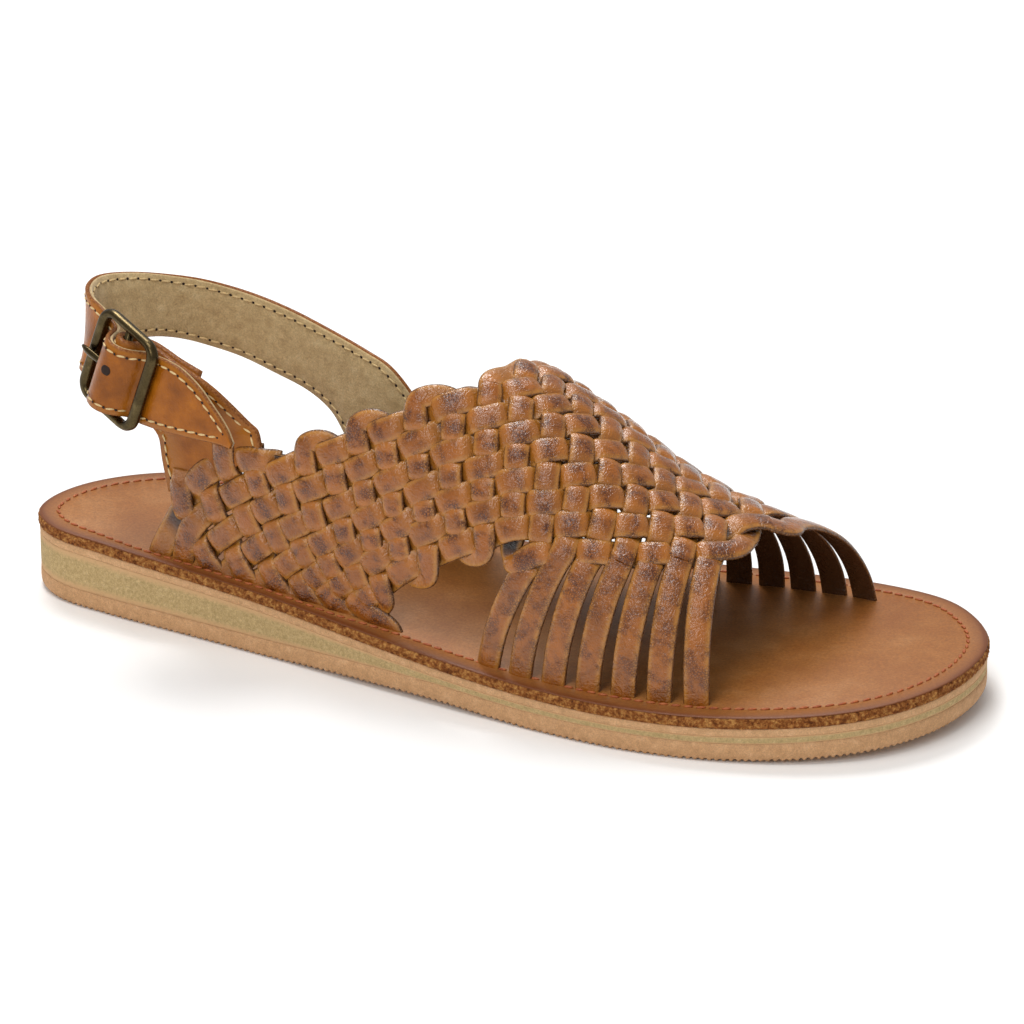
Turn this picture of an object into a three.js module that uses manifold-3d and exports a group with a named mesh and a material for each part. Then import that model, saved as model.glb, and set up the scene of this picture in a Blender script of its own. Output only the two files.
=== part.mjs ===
// Woven leather sling-back sandal (huarache), right shoe. Millimetres, +Z up.
// +X points to the toe, -Y to the outer (lateral) side. The sole stands on z = 0.
import * as THREE from 'three';
import { mergeVertices } from 'three/addons/utils/BufferGeometryUtils.js';
import Module from 'manifold-3d';

const wasm = await Module();
wasm.setup();

// ---------------------------------------------------------------- driving dimensions
const SOLE_LENGTH = 265;
const WIDTH_MIDDLE = -2.45;
const JOINT_GAP = 0.3;
const OUTSOLE_THICKNESS = 5.2;
const MIDSOLE_THICKNESS = 2.2;
const LEATHER_MIDSOLE_THICKNESS = 2.0;
const FOOTBED_THICKNESS = 1.3;
const FOOTBED_INSET = 0.7;
const SHOULDER_DROP = 0.6;
const SHOULDER_WIDTH = 1.8;
const OUTSOLE_EDGE_INSET = 0.9;

const WALL_THICKNESS = 2.6;
const STRIP_THICKNESS = 2.0;
const STRIP_WIDTH = 6.9;
const STRIP_COUNT = 7;
const SLOT_DEPTH = 0.9;
const OUTER_TAILS = { count: 8, first: -87, last: -20 };
const INNER_TAILS = { count: 6, first: -63, last: -18 };
const WING_TAIL_WIDTH = 7.0;
const WING_FOOT_ANGLE = 0.035;
const OUTER_SIDE_SHAPE = { across: 0.8, rise: 0.9 };
const INNER_SIDE_SHAPE = { across: 1.0, rise: 1.1 };

const STRAP_THICKNESS = 2.0;
const STRAP_WIDTH = 20;
const TAB_THICKNESS = 1.8;
const BUCKLE_WIRE_RADIUS = 1.4;
const CENTRE_BAR_RADIUS = 1.1;
const BUCKLE_HALF_LENGTH = 10.6;
const BUCKLE_HALF_WIDTH = 12.6;
const BUCKLE_CORNER = 3.5;
const PRONG_RADIUS = 0.9;
const PRONG_LOOP_RADIUS = 2.2;

// Sole outline: share of the length from the heel, and the two edges.
const OUTLINE = [
  { at: 0.000, lateral: -2.5, medial: -1.7 },
  { at: 0.035, lateral: -16.2, medial: 20.3 },
  { at: 0.10, lateral: -21.3, medial: 32.3 },
  { at: 0.20, lateral: -26.5, medial: 35.8 },
  { at: 0.30, lateral: -31.8, medial: 34.0 },
  { at: 0.42, lateral: -39.2, medial: 33.9 },
  { at: 0.56, lateral: -46.8, medial: 40.6 },
  { at: 0.70, lateral: -51.6, medial: 45.2 },
  { at: 0.82, lateral: -47.8, medial: 46.4 },
  { at: 0.92, lateral: -36.3, medial: 39.9 },
  { at: 0.975, lateral: -20.3, medial: 25.8 },
  { at: 1.000, lateral: 4.6, medial: 5.4 },
];

// Side profile: underside, wedge thickness and the line on which the leather layers lie.
const PROFILE = [
  { at: 0.00, ground: 0.7, leatherBase: 18.4 },
  { at: 0.06, ground: 0.1, leatherBase: 18.1 },
  { at: 0.10, ground: 0.0, leatherBase: 17.8 },
  { at: 0.28, ground: 0.0, leatherBase: 15.4 },
  { at: 0.40, ground: 1.1, leatherBase: 12.8 },
  { at: 0.50, ground: 1.2, leatherBase: 10.6 },
  { at: 0.60, ground: 0.0, leatherBase: 9.2 },
  { at: 0.76, ground: 0.0, leatherBase: 9.3 },
  { at: 0.86, ground: 0.9, leatherBase: 10.3 },
  { at: 0.93, ground: 2.0, leatherBase: 11.4 },
  { at: 1.00, ground: 3.2, leatherBase: 12.8 },
];

// Last: strap entry lines on the footbed and the ridge height, by distance from mid-length.
const LAST = [
  { x: -110, lateral: -16, medial: 24, ridge: 128 },
  { x: -92, lateral: -20, medial: 27, ridge: 124.5 },
  { x: -50, lateral: -28, medial: 26, ridge: 112 },
  { x: -25, lateral: -32, medial: 27, ridge: 102 },
  { x: -8, lateral: -36, medial: 28.5, ridge: 92 },
  { x: 5, lateral: -39.5, medial: 31, ridge: 84.5 },
  { x: 15, lateral: -42, medial: 33, ridge: 80.5 },
  { x: 25, lateral: -43.8, medial: 33.4, ridge: 75 },
  { x: 36, lateral: -44.8, medial: 33.8, ridge: 68 },
  { x: 47, lateral: -45.2, medial: 34.3, ridge: 60 },
  { x: 58, lateral: -45.2, medial: 35, ridge: 54 },
  { x: 67, lateral: -44.6, medial: 36, ridge: 50 },
  { x: 78, lateral: -42.3, medial: 36, ridge: 46.5 },
  { x: 89, lateral: -38.3, medial: 35.3, ridge: 43 },
  { x: 100, lateral: -33.5, medial: 32.5, ridge: 38 },
  { x: 115, lateral: -25, medial: 26, ridge: 30 },
];

// Woven wall: its rear and front edges for each angle round the last (0 outer foot, 1 inner foot).
const WEAVE_EDGES = [
  { angle: 0.000, rear: -91, front: -14.6 },
  { angle: 0.035, rear: -90, front: -14 },
  { angle: 0.056, rear: -88, front: -10 },
  { angle: 0.080, rear: -85, front: -5 },
  { angle: 0.105, rear: -68, front: 2 },
  { angle: 0.125, rear: -57, front: 9 },
  { angle: 0.150, rear: -43, front: 18 },
  { angle: 0.180, rear: -33, front: 30 },
  { angle: 0.224, rear: -24, front: 42 },
  { angle: 0.296, rear: -11, front: 57 },
  { angle: 0.368, rear: -3, front: 70 },
  { angle: 0.431, rear: 2.5, front: 77 },
  { angle: 0.500, rear: 6, front: 73 },
  { angle: 0.569, rear: 3, front: 65 },
  { angle: 0.632, rear: -2, front: 58 },
  { angle: 0.704, rear: -6.5, front: 51 },
  { angle: 0.776, rear: -13, front: 40 },
  { angle: 0.820, rear: -22, front: 29 },
  { angle: 0.850, rear: -30, front: 18 },
  { angle: 0.878, rear: -39, front: 8 },
  { angle: 0.907, rear: -49, front: -2 },
  { angle: 0.944, rear: -61, front: -10 },
  { angle: 0.965, rear: -66, front: -14 },
  { angle: 1.000, rear: -67, front: -14.6 },
];

// Routes of the first, middle and last forefoot strips from their slots up into the weave.
const OUTER_STRIPS = [
  { angle: 0.0, first: 12.6, middle: 41.5, last: 71.0 },
  { angle: 0.1, first: 17.0, middle: 43.8, last: 70.3 },
  { angle: 0.2, first: 26.0, middle: 47.0, last: 69.3 },
  { angle: 0.3, first: 25.4, middle: 48.0, last: 68.0 },
  { angle: 0.4, first: 23.0, middle: 46.2, last: 66.5 },
];
const INNER_STRIPS = [
  { angle: 0.0, first: 38.0, middle: 64.8, last: 91.5 },
  { angle: 0.1, first: 38.5, middle: 64.5, last: 90.0 },
  { angle: 0.2, first: 37.0, middle: 62.5, last: 87.5 },
  { angle: 0.3, first: 34.0, middle: 59.0, last: 84.5 },
  { angle: 0.4, first: 29.0, middle: 52.0, last: 80.0 },
  { angle: 0.5, first: 18.0, middle: 42.0, last: 74.0 },
];
// How far round the last each strip runs before it is well inside the woven wall.
const OUTER_REACH = [0.19, 0.22, 0.25, 0.29, 0.32, 0.36, 0.40];
const INNER_REACH = [0.20, 0.25, 0.30, 0.35, 0.40, 0.46, 0.53];

// Sling strap from inside the inner wing round the heel: rows of its top and bottom edges.
const STRAP_ROUTE = [
  { top: [-26, 16.8, 50], bottom: [-44, 18.0, 30] },
  { top: [-31.1, 17.8, 59.4], bottom: [-48.5, 19.0, 38.5] },
  { top: [-38.5, 19.0, 66.8], bottom: [-52.5, 20.4, 45] },
  { top: [-46.2, 21.5, 69.3], bottom: [-57, 22.8, 49.7] },
  { top: [-59.5, 25.5, 72.6], bottom: [-65, 25.5, 53.7] },
  { top: [-72.3, 28, 75.9], bottom: [-75.5, 27.5, 56.6] },
  { top: [-84.3, 28.5, 78.7], bottom: [-86, 28.5, 59.6] },
  { top: [-95.8, 26, 81.5], bottom: [-95.3, 25.5, 62.8] },
  { top: [-104.5, 21, 83.7], bottom: [-101.5, 20.5, 65.7] },
  { top: [-111.6, 14, 85.9], bottom: [-106, 13.5, 68] },
  { top: [-116.5, 5, 87.6], bottom: [-111.5, 5.5, 68.5] },
  { top: [-116.2, -3, 88], bottom: [-114.3, -2, 68] },
  { top: [-112.5, -10, 87.6], bottom: [-114.6, -9.5, 67.2] },
];

// Buckle frame: its centre, the way the strap runs through it, and the way its bars stand.
const BUCKLE_CENTRE = new THREE.Vector3(-98, -25, 73.8);
const BAR_WAY = new THREE.Vector3(0.318, 0.011, 0.948).normalize();
const STRAP_WAY = new THREE.Vector3(0.847, -0.455, -0.279).normalize();
const OUTWARD = new THREE.Vector3().crossVectors(STRAP_WAY, BAR_WAY).normalize();

// Strap through the buckle, in the buckle's own plane: along the strap, out from the foot,
// how far its middle rises along the bars, and its width down to the pointed tip.
const STRAP_THROUGH_BUCKLE = [
  { along: -16, out: -3.4, rise: -0.5, width: 20 },
  { along: -13, out: -3.1, rise: -0.7, width: 20 },
  { along: -10.6, out: -2.9, rise: -0.8, width: 20 },
  { along: -8.2, out: -2.4, rise: -0.9, width: 20 },
  { along: -6.2, out: -1.0, rise: -1.0, width: 20 },
  { along: -4.9, out: 1.3, rise: -1.0, width: 20 },
  { along: -3.0, out: 3.8, rise: -1.0, width: 20 },
  { along: 0, out: 4.9, rise: -1.0, width: 20 },
  { along: 3.0, out: 3.8, rise: -0.9, width: 20 },
  { along: 4.9, out: 1.3, rise: -0.8, width: 20 },
  { along: 6.2, out: -1.0, rise: -0.6, width: 20 },
  { along: 8.2, out: -2.4, rise: -0.3, width: 20 },
  { along: 10.6, out: -2.9, rise: 0.0, width: 20.5 },
  { along: 14, out: -3.1, rise: 0.9, width: 20.3 },
  { along: 18.5, out: -3.8, rise: 1.7, width: 19.1 },
  { along: 24.5, out: -5.2, rise: 2.0, width: 15.6 },
  { along: 30, out: -6.8, rise: 1.5, width: 10.8 },
  { along: 36, out: -8.5, rise: 0.7, width: 5 },
  { along: 38.6, out: -9.3, rise: -0.5, width: 2 },
];

// Quarter tab: rows of its rear and front edges up to the buckle, on the outer side.
const TAB_EDGES = [
  { rear: [-87, -15.6, 36], front: [-60, -20.4, 44] },
  { rear: [-88.5, -16.0, 46], front: [-57.5, -20.0, 54] },
  { rear: [-89, -19.5, 53.5], front: [-61.5, -23.5, 63.5] },
  { rear: [-89.8, -22.6, 58.5], front: [-71.5, -27.2, 74.5] },
];
// The tab's fold round the centre bar, in the buckle's own plane.
const TAB_FOLD = [
  { along: 14, out: -5.9 },
  { along: 10, out: -5.4 },
  { along: 7, out: -5.0 },
  { along: 4.2, out: -3.8 },
  { along: 2.7, out: -1.7 },
  { along: 2.1, out: 0.9 },
  { along: 0, out: 2.3 },
  { along: -1.9, out: 1.3 },
  { along: -2.3, out: -0.5 },
  { along: -0.8, out: -2.6 },
  { along: 1.0, out: -4.6 },
  { along: 3.4, out: -6.4 },
  { along: 7, out: -7.4 },
  { along: 12, out: -8.2 },
  { along: 19, out: -10.3 },
];
const TAB_WINDOW = { half: 2.0, from: -6, to: 3.0, deep: 7.2 };

// ---------------------------------------------------------------- tables and curves
// Reads a column of a table at a place along it, with a smooth cubic between the rows.
function readTable(rows, key, at, column) {
  const last = rows.length - 1;
  const place = Math.min(Math.max(at, rows[0][key]), rows[last][key]);
  let i = 0;
  while (i < last - 1 && rows[i + 1][key] < place) i += 1;
  const slope = (k) => {
    const a = rows[Math.max(k - 1, 0)];
    const b = rows[Math.min(k + 1, last)];
    return (b[column] - a[column]) / (b[key] - a[key]);
  };
  const step = rows[i + 1][key] - rows[i][key];
  const u = (place - rows[i][key]) / step;
  const h1 = u * u * (3 - 2 * u);
  const h2 = u * (1 - u) * (1 - u) * step;
  const h3 = u * u * (u - 1) * step;
  return rows[i][column] * (1 - h1) + rows[i + 1][column] * h1 + slope(i) * h2 + slope(i + 1) * h3;
}

// The outline is read by the turn round it, which keeps the heel and toe round.
const turnOf = (share) => Math.acos(1 - 2 * share) / Math.PI;
const OUTLINE_BY_TURN = OUTLINE.map((row) => ({ ...row, turn: turnOf(row.at) }));
const shareOf = (x) => x / SOLE_LENGTH + 0.5;
const groundAt = (x) => Math.max(0, readTable(PROFILE, 'at', shareOf(x), 'ground'));
const leatherBaseAt = (x) => readTable(PROFILE, 'at', shareOf(x), 'leatherBase');
const footbedTopAt = (x) => leatherBaseAt(x) + LEATHER_MIDSOLE_THICKNESS + FOOTBED_THICKNESS;

// Outer face of the upper: angle 0 at the outer foot, 0.5 on the ridge, 1 at the inner foot.
function lastPoint(x, angle) {
  const lateral = readTable(LAST, 'x', x, 'lateral');
  const medial = readTable(LAST, 'x', x, 'medial');
  const base = footbedTopAt(x) - SLOT_DEPTH;
  const ridge = readTable(LAST, 'x', x, 'ridge');
  const turn = Math.PI * THREE.MathUtils.clamp(angle, 0, 1);
  const shape = angle < 0.5 ? OUTER_SIDE_SHAPE : INNER_SIDE_SHAPE;
  const across = Math.sign(Math.cos(turn)) * Math.abs(Math.cos(turn)) ** shape.across;
  const rise = Math.max(Math.sin(turn), 0) ** shape.rise;
  const y = (lateral + medial) / 2 - ((medial - lateral) / 2) * across;
  return new THREE.Vector3(x, y, base + (ridge - base) * rise);
}

function lastNormal(x, angle) {
  const step = 0.004;
  const safe = THREE.MathUtils.clamp(angle, step, 1 - step);
  const along = lastPoint(x + 1, safe).sub(lastPoint(x - 1, safe));
  const across = lastPoint(x, safe + step).sub(lastPoint(x, safe - step));
  return new THREE.Vector3().crossVectors(along, across).normalize();
}

// ---------------------------------------------------------------- solids
function toGeometry(manifold) {
  const mesh = manifold.getMesh();
  const geometry = new THREE.BufferGeometry();
  geometry.setAttribute('position', new THREE.BufferAttribute(new Float32Array(mesh.vertProperties), 3));
  geometry.setIndex(new THREE.BufferAttribute(new Uint32Array(mesh.triVerts), 1));
  geometry.computeVertexNormals();
  return geometry;
}

function toManifold(geometry) {
  const bare = geometry.clone();
  bare.deleteAttribute('normal');
  bare.deleteAttribute('uv');
  const merged = mergeVertices(bare, 1e-4);
  const vertProperties = new Float32Array(merged.attributes.position.array);
  const triVerts = new Uint32Array(merged.index.array);
  const corner = (i) => new THREE.Vector3().fromArray(vertProperties, 3 * triVerts[i]);
  let volume = 0;
  for (let i = 0; i < triVerts.length; i += 3) {
    volume += corner(i).dot(corner(i + 1).cross(corner(i + 2)));
  }
  if (volume < 0) triVerts.reverse();
  return new wasm.Manifold(new wasm.Mesh({ numProp: 3, vertProperties, triVerts }));
}

// A closed box whose points are carried to place(u, v, w), each of u, v and w from 0 to 1.
function warpedBox(stepsU, stepsV, stepsW, place) {
  const geometry = new THREE.BoxGeometry(1, 1, 1, stepsU, stepsV, stepsW);
  const position = geometry.attributes.position;
  for (let i = 0; i < position.count; i += 1) {
    const point = place(position.getX(i) + 0.5, position.getY(i) + 0.5, position.getZ(i) + 0.5);
    position.setXYZ(i, point.x, point.y, point.z);
  }
  return toManifold(geometry);
}

function joinAll(solids) {
  return solids.reduce((sum, solid) => sum.add(solid));
}

function wire(points, radius, closed, steps, sides = 10) {
  const circle = new THREE.Shape().absarc(0, 0, radius, 0, 2 * Math.PI);
  const extrudePath = new THREE.CatmullRomCurve3(points, closed, 'centripetal');
  const curveSegments = Math.round(sides / 2);
  return toManifold(new THREE.ExtrudeGeometry(circle, { steps, curveSegments, extrudePath }));
}

// ---------------------------------------------------------------- sole
const SOLE_STEPS = 44;

// Places along the sole, closer together at the round heel and toe.
function soleShare(u) {
  return 0.5 - 0.5 * Math.cos(Math.PI * u);
}

function soleLayer(bottomAt, topAt, insetLow, insetHigh, shoulder = 0) {
  const acrossSteps = shoulder > 0 ? 4 : 2;
  return warpedBox(SOLE_STEPS, acrossSteps, 1, (u, v, w) => {
    const inset = THREE.MathUtils.lerp(insetLow, insetHigh, w);
    const x = (soleShare(u) - 0.5) * (SOLE_LENGTH - 2 * inset);
    const lateral = readTable(OUTLINE_BY_TURN, 'turn', u, 'lateral') + inset;
    const medial = readTable(OUTLINE_BY_TURN, 'turn', u, 'medial') - inset;
    const low = Math.min(lateral, (lateral + medial) / 2 - 0.4);
    const high = Math.max(medial, (lateral + medial) / 2 + 0.4);
    const rim = Math.min(SHOULDER_WIDTH, (high - low) / 3);
    const stops = shoulder > 0 ? [low, low + rim, (low + high) / 2, high - rim, high] : [low, (low + high) / 2, high];
    const stop = Math.round(v * acrossSteps);
    const atRim = stop === 0 || stop === acrossSteps || u === 0 || u === 1;
    const top = topAt(x) - (atRim ? shoulder : 0);
    return new THREE.Vector3(x, stops[stop], THREE.MathUtils.lerp(bottomAt(x), top, w));
  });
}

const wedgeBase = (x) => groundAt(x) + OUTSOLE_THICKNESS;
const midsoleBase = (x) => leatherBaseAt(x) - MIDSOLE_THICKNESS;
const leatherTop = (x) => leatherBaseAt(x) + LEATHER_MIDSOLE_THICKNESS;

function outsole() {
  const top = (x) => wedgeBase(x) - JOINT_GAP;
  return soleLayer(groundAt, top, OUTSOLE_EDGE_INSET, 0);
}

function wedge() {
  return soleLayer(wedgeBase, (x) => midsoleBase(x) - JOINT_GAP, 0, 0);
}

function midsole() {
  return soleLayer(midsoleBase, (x) => leatherBaseAt(x) - JOINT_GAP, 0, 0);
}

function leatherMidsole() {
  return soleLayer(leatherBaseAt, (x) => leatherTop(x) - JOINT_GAP, 0, 0);
}

function footbed(slots) {
  const sheet = soleLayer(leatherTop, footbedTopAt, FOOTBED_INSET, FOOTBED_INSET, SHOULDER_DROP);
  return sheet.subtract(joinAll(slots));
}

// ---------------------------------------------------------------- upper
function onLast(x, angle, depth) {
  return lastPoint(x, angle).addScaledVector(lastNormal(x, angle), -depth);
}

function wovenWall() {
  return warpedBox(12, 34, 1, (u, v, w) => {
    const angle = THREE.MathUtils.lerp(WING_FOOT_ANGLE, 1 - WING_FOOT_ANGLE, v);
    const rear = readTable(WEAVE_EDGES, 'angle', angle, 'rear');
    const front = readTable(WEAVE_EDGES, 'angle', angle, 'front');
    return onLast(THREE.MathUtils.lerp(rear, front, u), angle, WALL_THICKNESS * (1 - w));
  });
}

// A strip of leather lying on the last from its slot up to an angle.
function strip(placeAt, reach, width, thickness, extra, steps) {
  return warpedBox(steps, 1, 1, (u, v, w) => {
    const angle = u * u * reach * 0.35 + u * reach * 0.65;
    const x = placeAt(angle) + (v - 0.5) * (width + 2 * extra);
    const depth = (1 - w) * (thickness + 2 * extra) - extra;
    const point = onLast(x, placeAt.inner ? 1 - angle : angle, depth);
    if (u === 0) point.z -= extra;
    return point;
  });
}

// The route of strip number i of a family, between the first, middle and last strips' routes.
function stripRoute(table, i, inner) {
  const share = i / (STRIP_COUNT - 1);
  const route = (angle) => {
    const first = readTable(table, 'angle', angle, 'first');
    const middle = readTable(table, 'angle', angle, 'middle');
    const last = readTable(table, 'angle', angle, 'last');
    const near = share < 0.5 ? first : last;
    return THREE.MathUtils.lerp(middle, near, Math.abs(2 * share - 1));
  };
  route.inner = inner;
  return route;
}

function wingTails(tails, inner) {
  return Array.from({ length: tails.count }, (_, i) => {
    const x = THREE.MathUtils.lerp(tails.first, tails.last, i / (tails.count - 1));
    const route = () => x;
    route.inner = inner;
    return { route, reach: 0.06, width: WING_TAIL_WIDTH };
  });
}

// Every strap end that goes into the footbed: the forefoot strips and the tails of the wings.
function strapEnds() {
  const ends = [];
  for (let i = 0; i < STRIP_COUNT; i += 1) {
    ends.push({ route: stripRoute(OUTER_STRIPS, i, false), reach: OUTER_REACH[i], width: STRIP_WIDTH });
    ends.push({ route: stripRoute(INNER_STRIPS, i, true), reach: INNER_REACH[i], width: STRIP_WIDTH });
  }
  return [...ends, ...wingTails(OUTER_TAILS, false), ...wingTails(INNER_TAILS, true)];
}

function upper(ends) {
  const strips = ends.map(({ route, reach, width }) => {
    const steps = Math.max(2, Math.round(reach * 22));
    return strip(route, reach, width, STRIP_THICKNESS, 0, steps);
  });
  return joinAll([wovenWall(), ...strips]);
}

// Cutters for the footbed's slots: the foot of each strap end, larger by the joint gap.
function slotCutters(ends) {
  return ends.map(({ route, width }) => strip(route, 0.035, width, STRIP_THICKNESS, JOINT_GAP, 1));
}

// ---------------------------------------------------------------- straps and buckle
function inBuckle(along, out, up = 0) {
  return BUCKLE_CENTRE.clone()
    .addScaledVector(STRAP_WAY, along)
    .addScaledVector(OUTWARD, out)
    .addScaledVector(BAR_WAY, up);
}

// A flat band through rows of two edge points, with its thickness square to its own run.
function band(rows, thickness, steps) {
  const low = new THREE.CatmullRomCurve3(rows.map((row) => row.low), false, 'centripetal');
  const high = new THREE.CatmullRomCurve3(rows.map((row) => row.high), false, 'centripetal');
  const middle = (u) => low.getPoint(u).add(high.getPoint(u)).multiplyScalar(0.5);
  return warpedBox(steps, 2, 1, (u, v, w) => {
    const run = middle(Math.min(u + 0.004, 1)).sub(middle(Math.max(u - 0.004, 0)));
    const side = high.getPoint(u).sub(low.getPoint(u));
    const out = new THREE.Vector3().crossVectors(run, side).normalize();
    const point = low.getPoint(u).lerp(high.getPoint(u), v);
    return point.addScaledVector(out, (w - 0.5) * thickness);
  });
}

function strapRows() {
  const rows = STRAP_ROUTE.map(({ top, bottom }) => ({
    high: new THREE.Vector3(...top),
    low: new THREE.Vector3(...bottom),
  }));
  STRAP_THROUGH_BUCKLE.forEach(({ along, out, rise, width }) => {
    const high = inBuckle(along, out, rise + width / 2);
    rows.push({ high, low: inBuckle(along, out, rise - width / 2) });
  });
  return rows;
}

function slingStrap() {
  const strap = band(strapRows(), STRAP_THICKNESS, 74);
  const hole = wire([inBuckle(-9, 2.5), inBuckle(-2.2, 2.3)], PRONG_RADIUS + 2 * JOINT_GAP, false, 1);
  return strap.subtract(hole);
}

function quarterTab() {
  const rows = TAB_EDGES.map(({ rear, front }) => ({
    low: new THREE.Vector3(...rear),
    high: new THREE.Vector3(...front),
  }));
  TAB_FOLD.forEach(({ along, out }) => {
    const high = inBuckle(along, out, STRAP_WIDTH / 2);
    rows.push({ high, low: inBuckle(along, out, -STRAP_WIDTH / 2) });
  });
  const tab = band(rows, TAB_THICKNESS, 56);
  const window = warpedBox(1, 1, 1, (u, v, w) => inBuckle(
    THREE.MathUtils.lerp(TAB_WINDOW.from, TAB_WINDOW.to, u),
    THREE.MathUtils.lerp(-TAB_WINDOW.deep + 2.6, TAB_WINDOW.deep, v),
    THREE.MathUtils.lerp(-TAB_WINDOW.half, TAB_WINDOW.half, w),
  ));
  return tab.subtract(window);
}

function buckleFrame() {
  const points = [];
  const corners = [[1, 1], [-1, 1], [-1, -1], [1, -1]];
  corners.forEach(([sideAlong, sideUp], i) => {
    const startTurn = (i * Math.PI) / 2;
    for (let k = 0; k <= 3; k += 1) {
      const turn = startTurn + (k / 3) * (Math.PI / 2);
      const along = sideAlong * (BUCKLE_HALF_LENGTH - BUCKLE_CORNER) + BUCKLE_CORNER * Math.cos(turn);
      const up = sideUp * (BUCKLE_HALF_WIDTH - BUCKLE_CORNER) + BUCKLE_CORNER * Math.sin(turn);
      points.push(inBuckle(along, 0, up));
    }
  });
  const frame = wire(points, BUCKLE_WIRE_RADIUS, true, 36, 8);
  const bar = wire([inBuckle(0, 0, -BUCKLE_HALF_WIDTH), inBuckle(0, 0, BUCKLE_HALF_WIDTH)],
    CENTRE_BAR_RADIUS, false, 1);
  return frame.add(bar);
}

// The prong hooks round the centre bar and lies on the bar nearer the heel.
function buckleProng() {
  const points = [];
  for (let degrees = 290; degrees >= 110; degrees -= 30) {
    const turn = THREE.MathUtils.degToRad(degrees);
    points.push(inBuckle(PRONG_LOOP_RADIUS * Math.cos(turn), PRONG_LOOP_RADIUS * Math.sin(turn)));
  }
  points.push(inBuckle(-4, 2.35));
  points.push(inBuckle(-BUCKLE_HALF_LENGTH, 2.65));
  points.push(inBuckle(-BUCKLE_HALF_LENGTH - 2.4, 2.6));
  return wire(points, PRONG_RADIUS, false, 20, 8);
}

// ---------------------------------------------------------------- assembly
const LOOKS = {
  outsole: { color: '#c2966f', roughness: 0.85 },
  wedge: { color: '#b09a63', roughness: 0.9 },
  midsole: { color: '#c49a6c', roughness: 0.85 },
  leather_midsole: { color: '#8f5a30', roughness: 0.9 },
  footbed: { color: '#ab6f45', roughness: 0.5 },
  upper: { color: '#9a6130', roughness: 0.45 },
  quarter_tab: { color: '#9c6028', roughness: 0.45 },
  sling_strap: { color: '#9c6028', roughness: 0.45 },
  buckle_frame: { color: '#5a5140', roughness: 0.4, metalness: 1 },
  buckle_prong: { color: '#5a5140', roughness: 0.4, metalness: 1 },
};

// Each piece is moved across so that the origin is under the middle of the shoe's width.
function addPiece(group, name, solid) {
  const centred = solid.translate(0, -WIDTH_MIDDLE, 0);
  const mesh = new THREE.Mesh(toGeometry(centred), new THREE.MeshStandardMaterial(LOOKS[name]));
  mesh.name = name;
  group.add(mesh);
}

const sandal = new THREE.Group();
const ends = strapEnds();
addPiece(sandal, 'outsole', outsole());
addPiece(sandal, 'wedge', wedge());
addPiece(sandal, 'midsole', midsole());
addPiece(sandal, 'leather_midsole', leatherMidsole());
addPiece(sandal, 'footbed', footbed(slotCutters(ends)));
addPiece(sandal, 'upper', upper(ends));
addPiece(sandal, 'quarter_tab', quarterTab());
addPiece(sandal, 'sling_strap', slingStrap());
addPiece(sandal, 'buckle_frame', buckleFrame());
addPiece(sandal, 'buckle_prong', buckleProng());

export default sandal;
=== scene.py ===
import math
import random
import bpy
import bmesh
from mathutils import Matrix, Vector


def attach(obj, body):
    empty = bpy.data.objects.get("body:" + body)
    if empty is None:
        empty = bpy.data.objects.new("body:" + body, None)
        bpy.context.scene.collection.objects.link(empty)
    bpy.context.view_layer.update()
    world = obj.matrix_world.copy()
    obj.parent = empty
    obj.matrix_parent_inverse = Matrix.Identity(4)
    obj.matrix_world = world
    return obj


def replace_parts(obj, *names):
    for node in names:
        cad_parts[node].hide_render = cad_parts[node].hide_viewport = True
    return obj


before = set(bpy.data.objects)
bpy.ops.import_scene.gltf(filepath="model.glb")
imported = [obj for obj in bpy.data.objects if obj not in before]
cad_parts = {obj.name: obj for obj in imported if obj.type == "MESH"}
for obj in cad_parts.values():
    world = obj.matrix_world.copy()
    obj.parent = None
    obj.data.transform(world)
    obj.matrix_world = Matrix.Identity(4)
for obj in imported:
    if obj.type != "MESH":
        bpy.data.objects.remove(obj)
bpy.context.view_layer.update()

# ---------------------------------------------------------------- sizes in millimetres
SOLE_LENGTH = 265
WIDTH_MIDDLE = -2.45
OUTSOLE_THICKNESS = 5.2
MIDSOLE_THICKNESS = 2.2
LEATHER_MIDSOLE_THICKNESS = 2.0
FOOTBED_THICKNESS = 1.3
SLOT_DEPTH = 0.9
CROSS_CUT = 4.0

STRIP_THICKNESS = 1.2
OUTER_STRIP_WIDTH = 6.9
INNER_STRIP_WIDTH = 7.2
LACE_WIDTH = 6.8
WEAVE_LIFT = 0.95
LOOP_RISE = 1.6
LOOP_HEIGHT = 2.6
WALL_MIDDLE = 1.3
DIVE = 3.6
DIVE_AT = 0.5
FREE_STEP = 0.045
SLOT_SINK = 2.6
SLOT_EDGE_RISE = 0.7

STRAP_THICKNESS = 2.0
TAB_THICKNESS = 1.8
LINING_TOP = -0.15
EDGE_STITCH_INSET = 2.0
STITCH_PITCH = 3.3
STRIP_STITCH_PITCH = 2.9
STRIP_STITCH_INSET = 1.7
HOLE_INSET = 7.7
HOLE_RADIUS = 1.5

# How finely the shapes are drawn.
RIM_STEPS = 1300
OUTLINE_STEPS = 1500
STRIP_STEPS = 12
BAND_STEPS = 5
BAND_LINE_STEPS = 10

random.seed(11)


def table(names, *rows):
    return [dict(zip(names.split(), row)) for row in rows]


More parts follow.
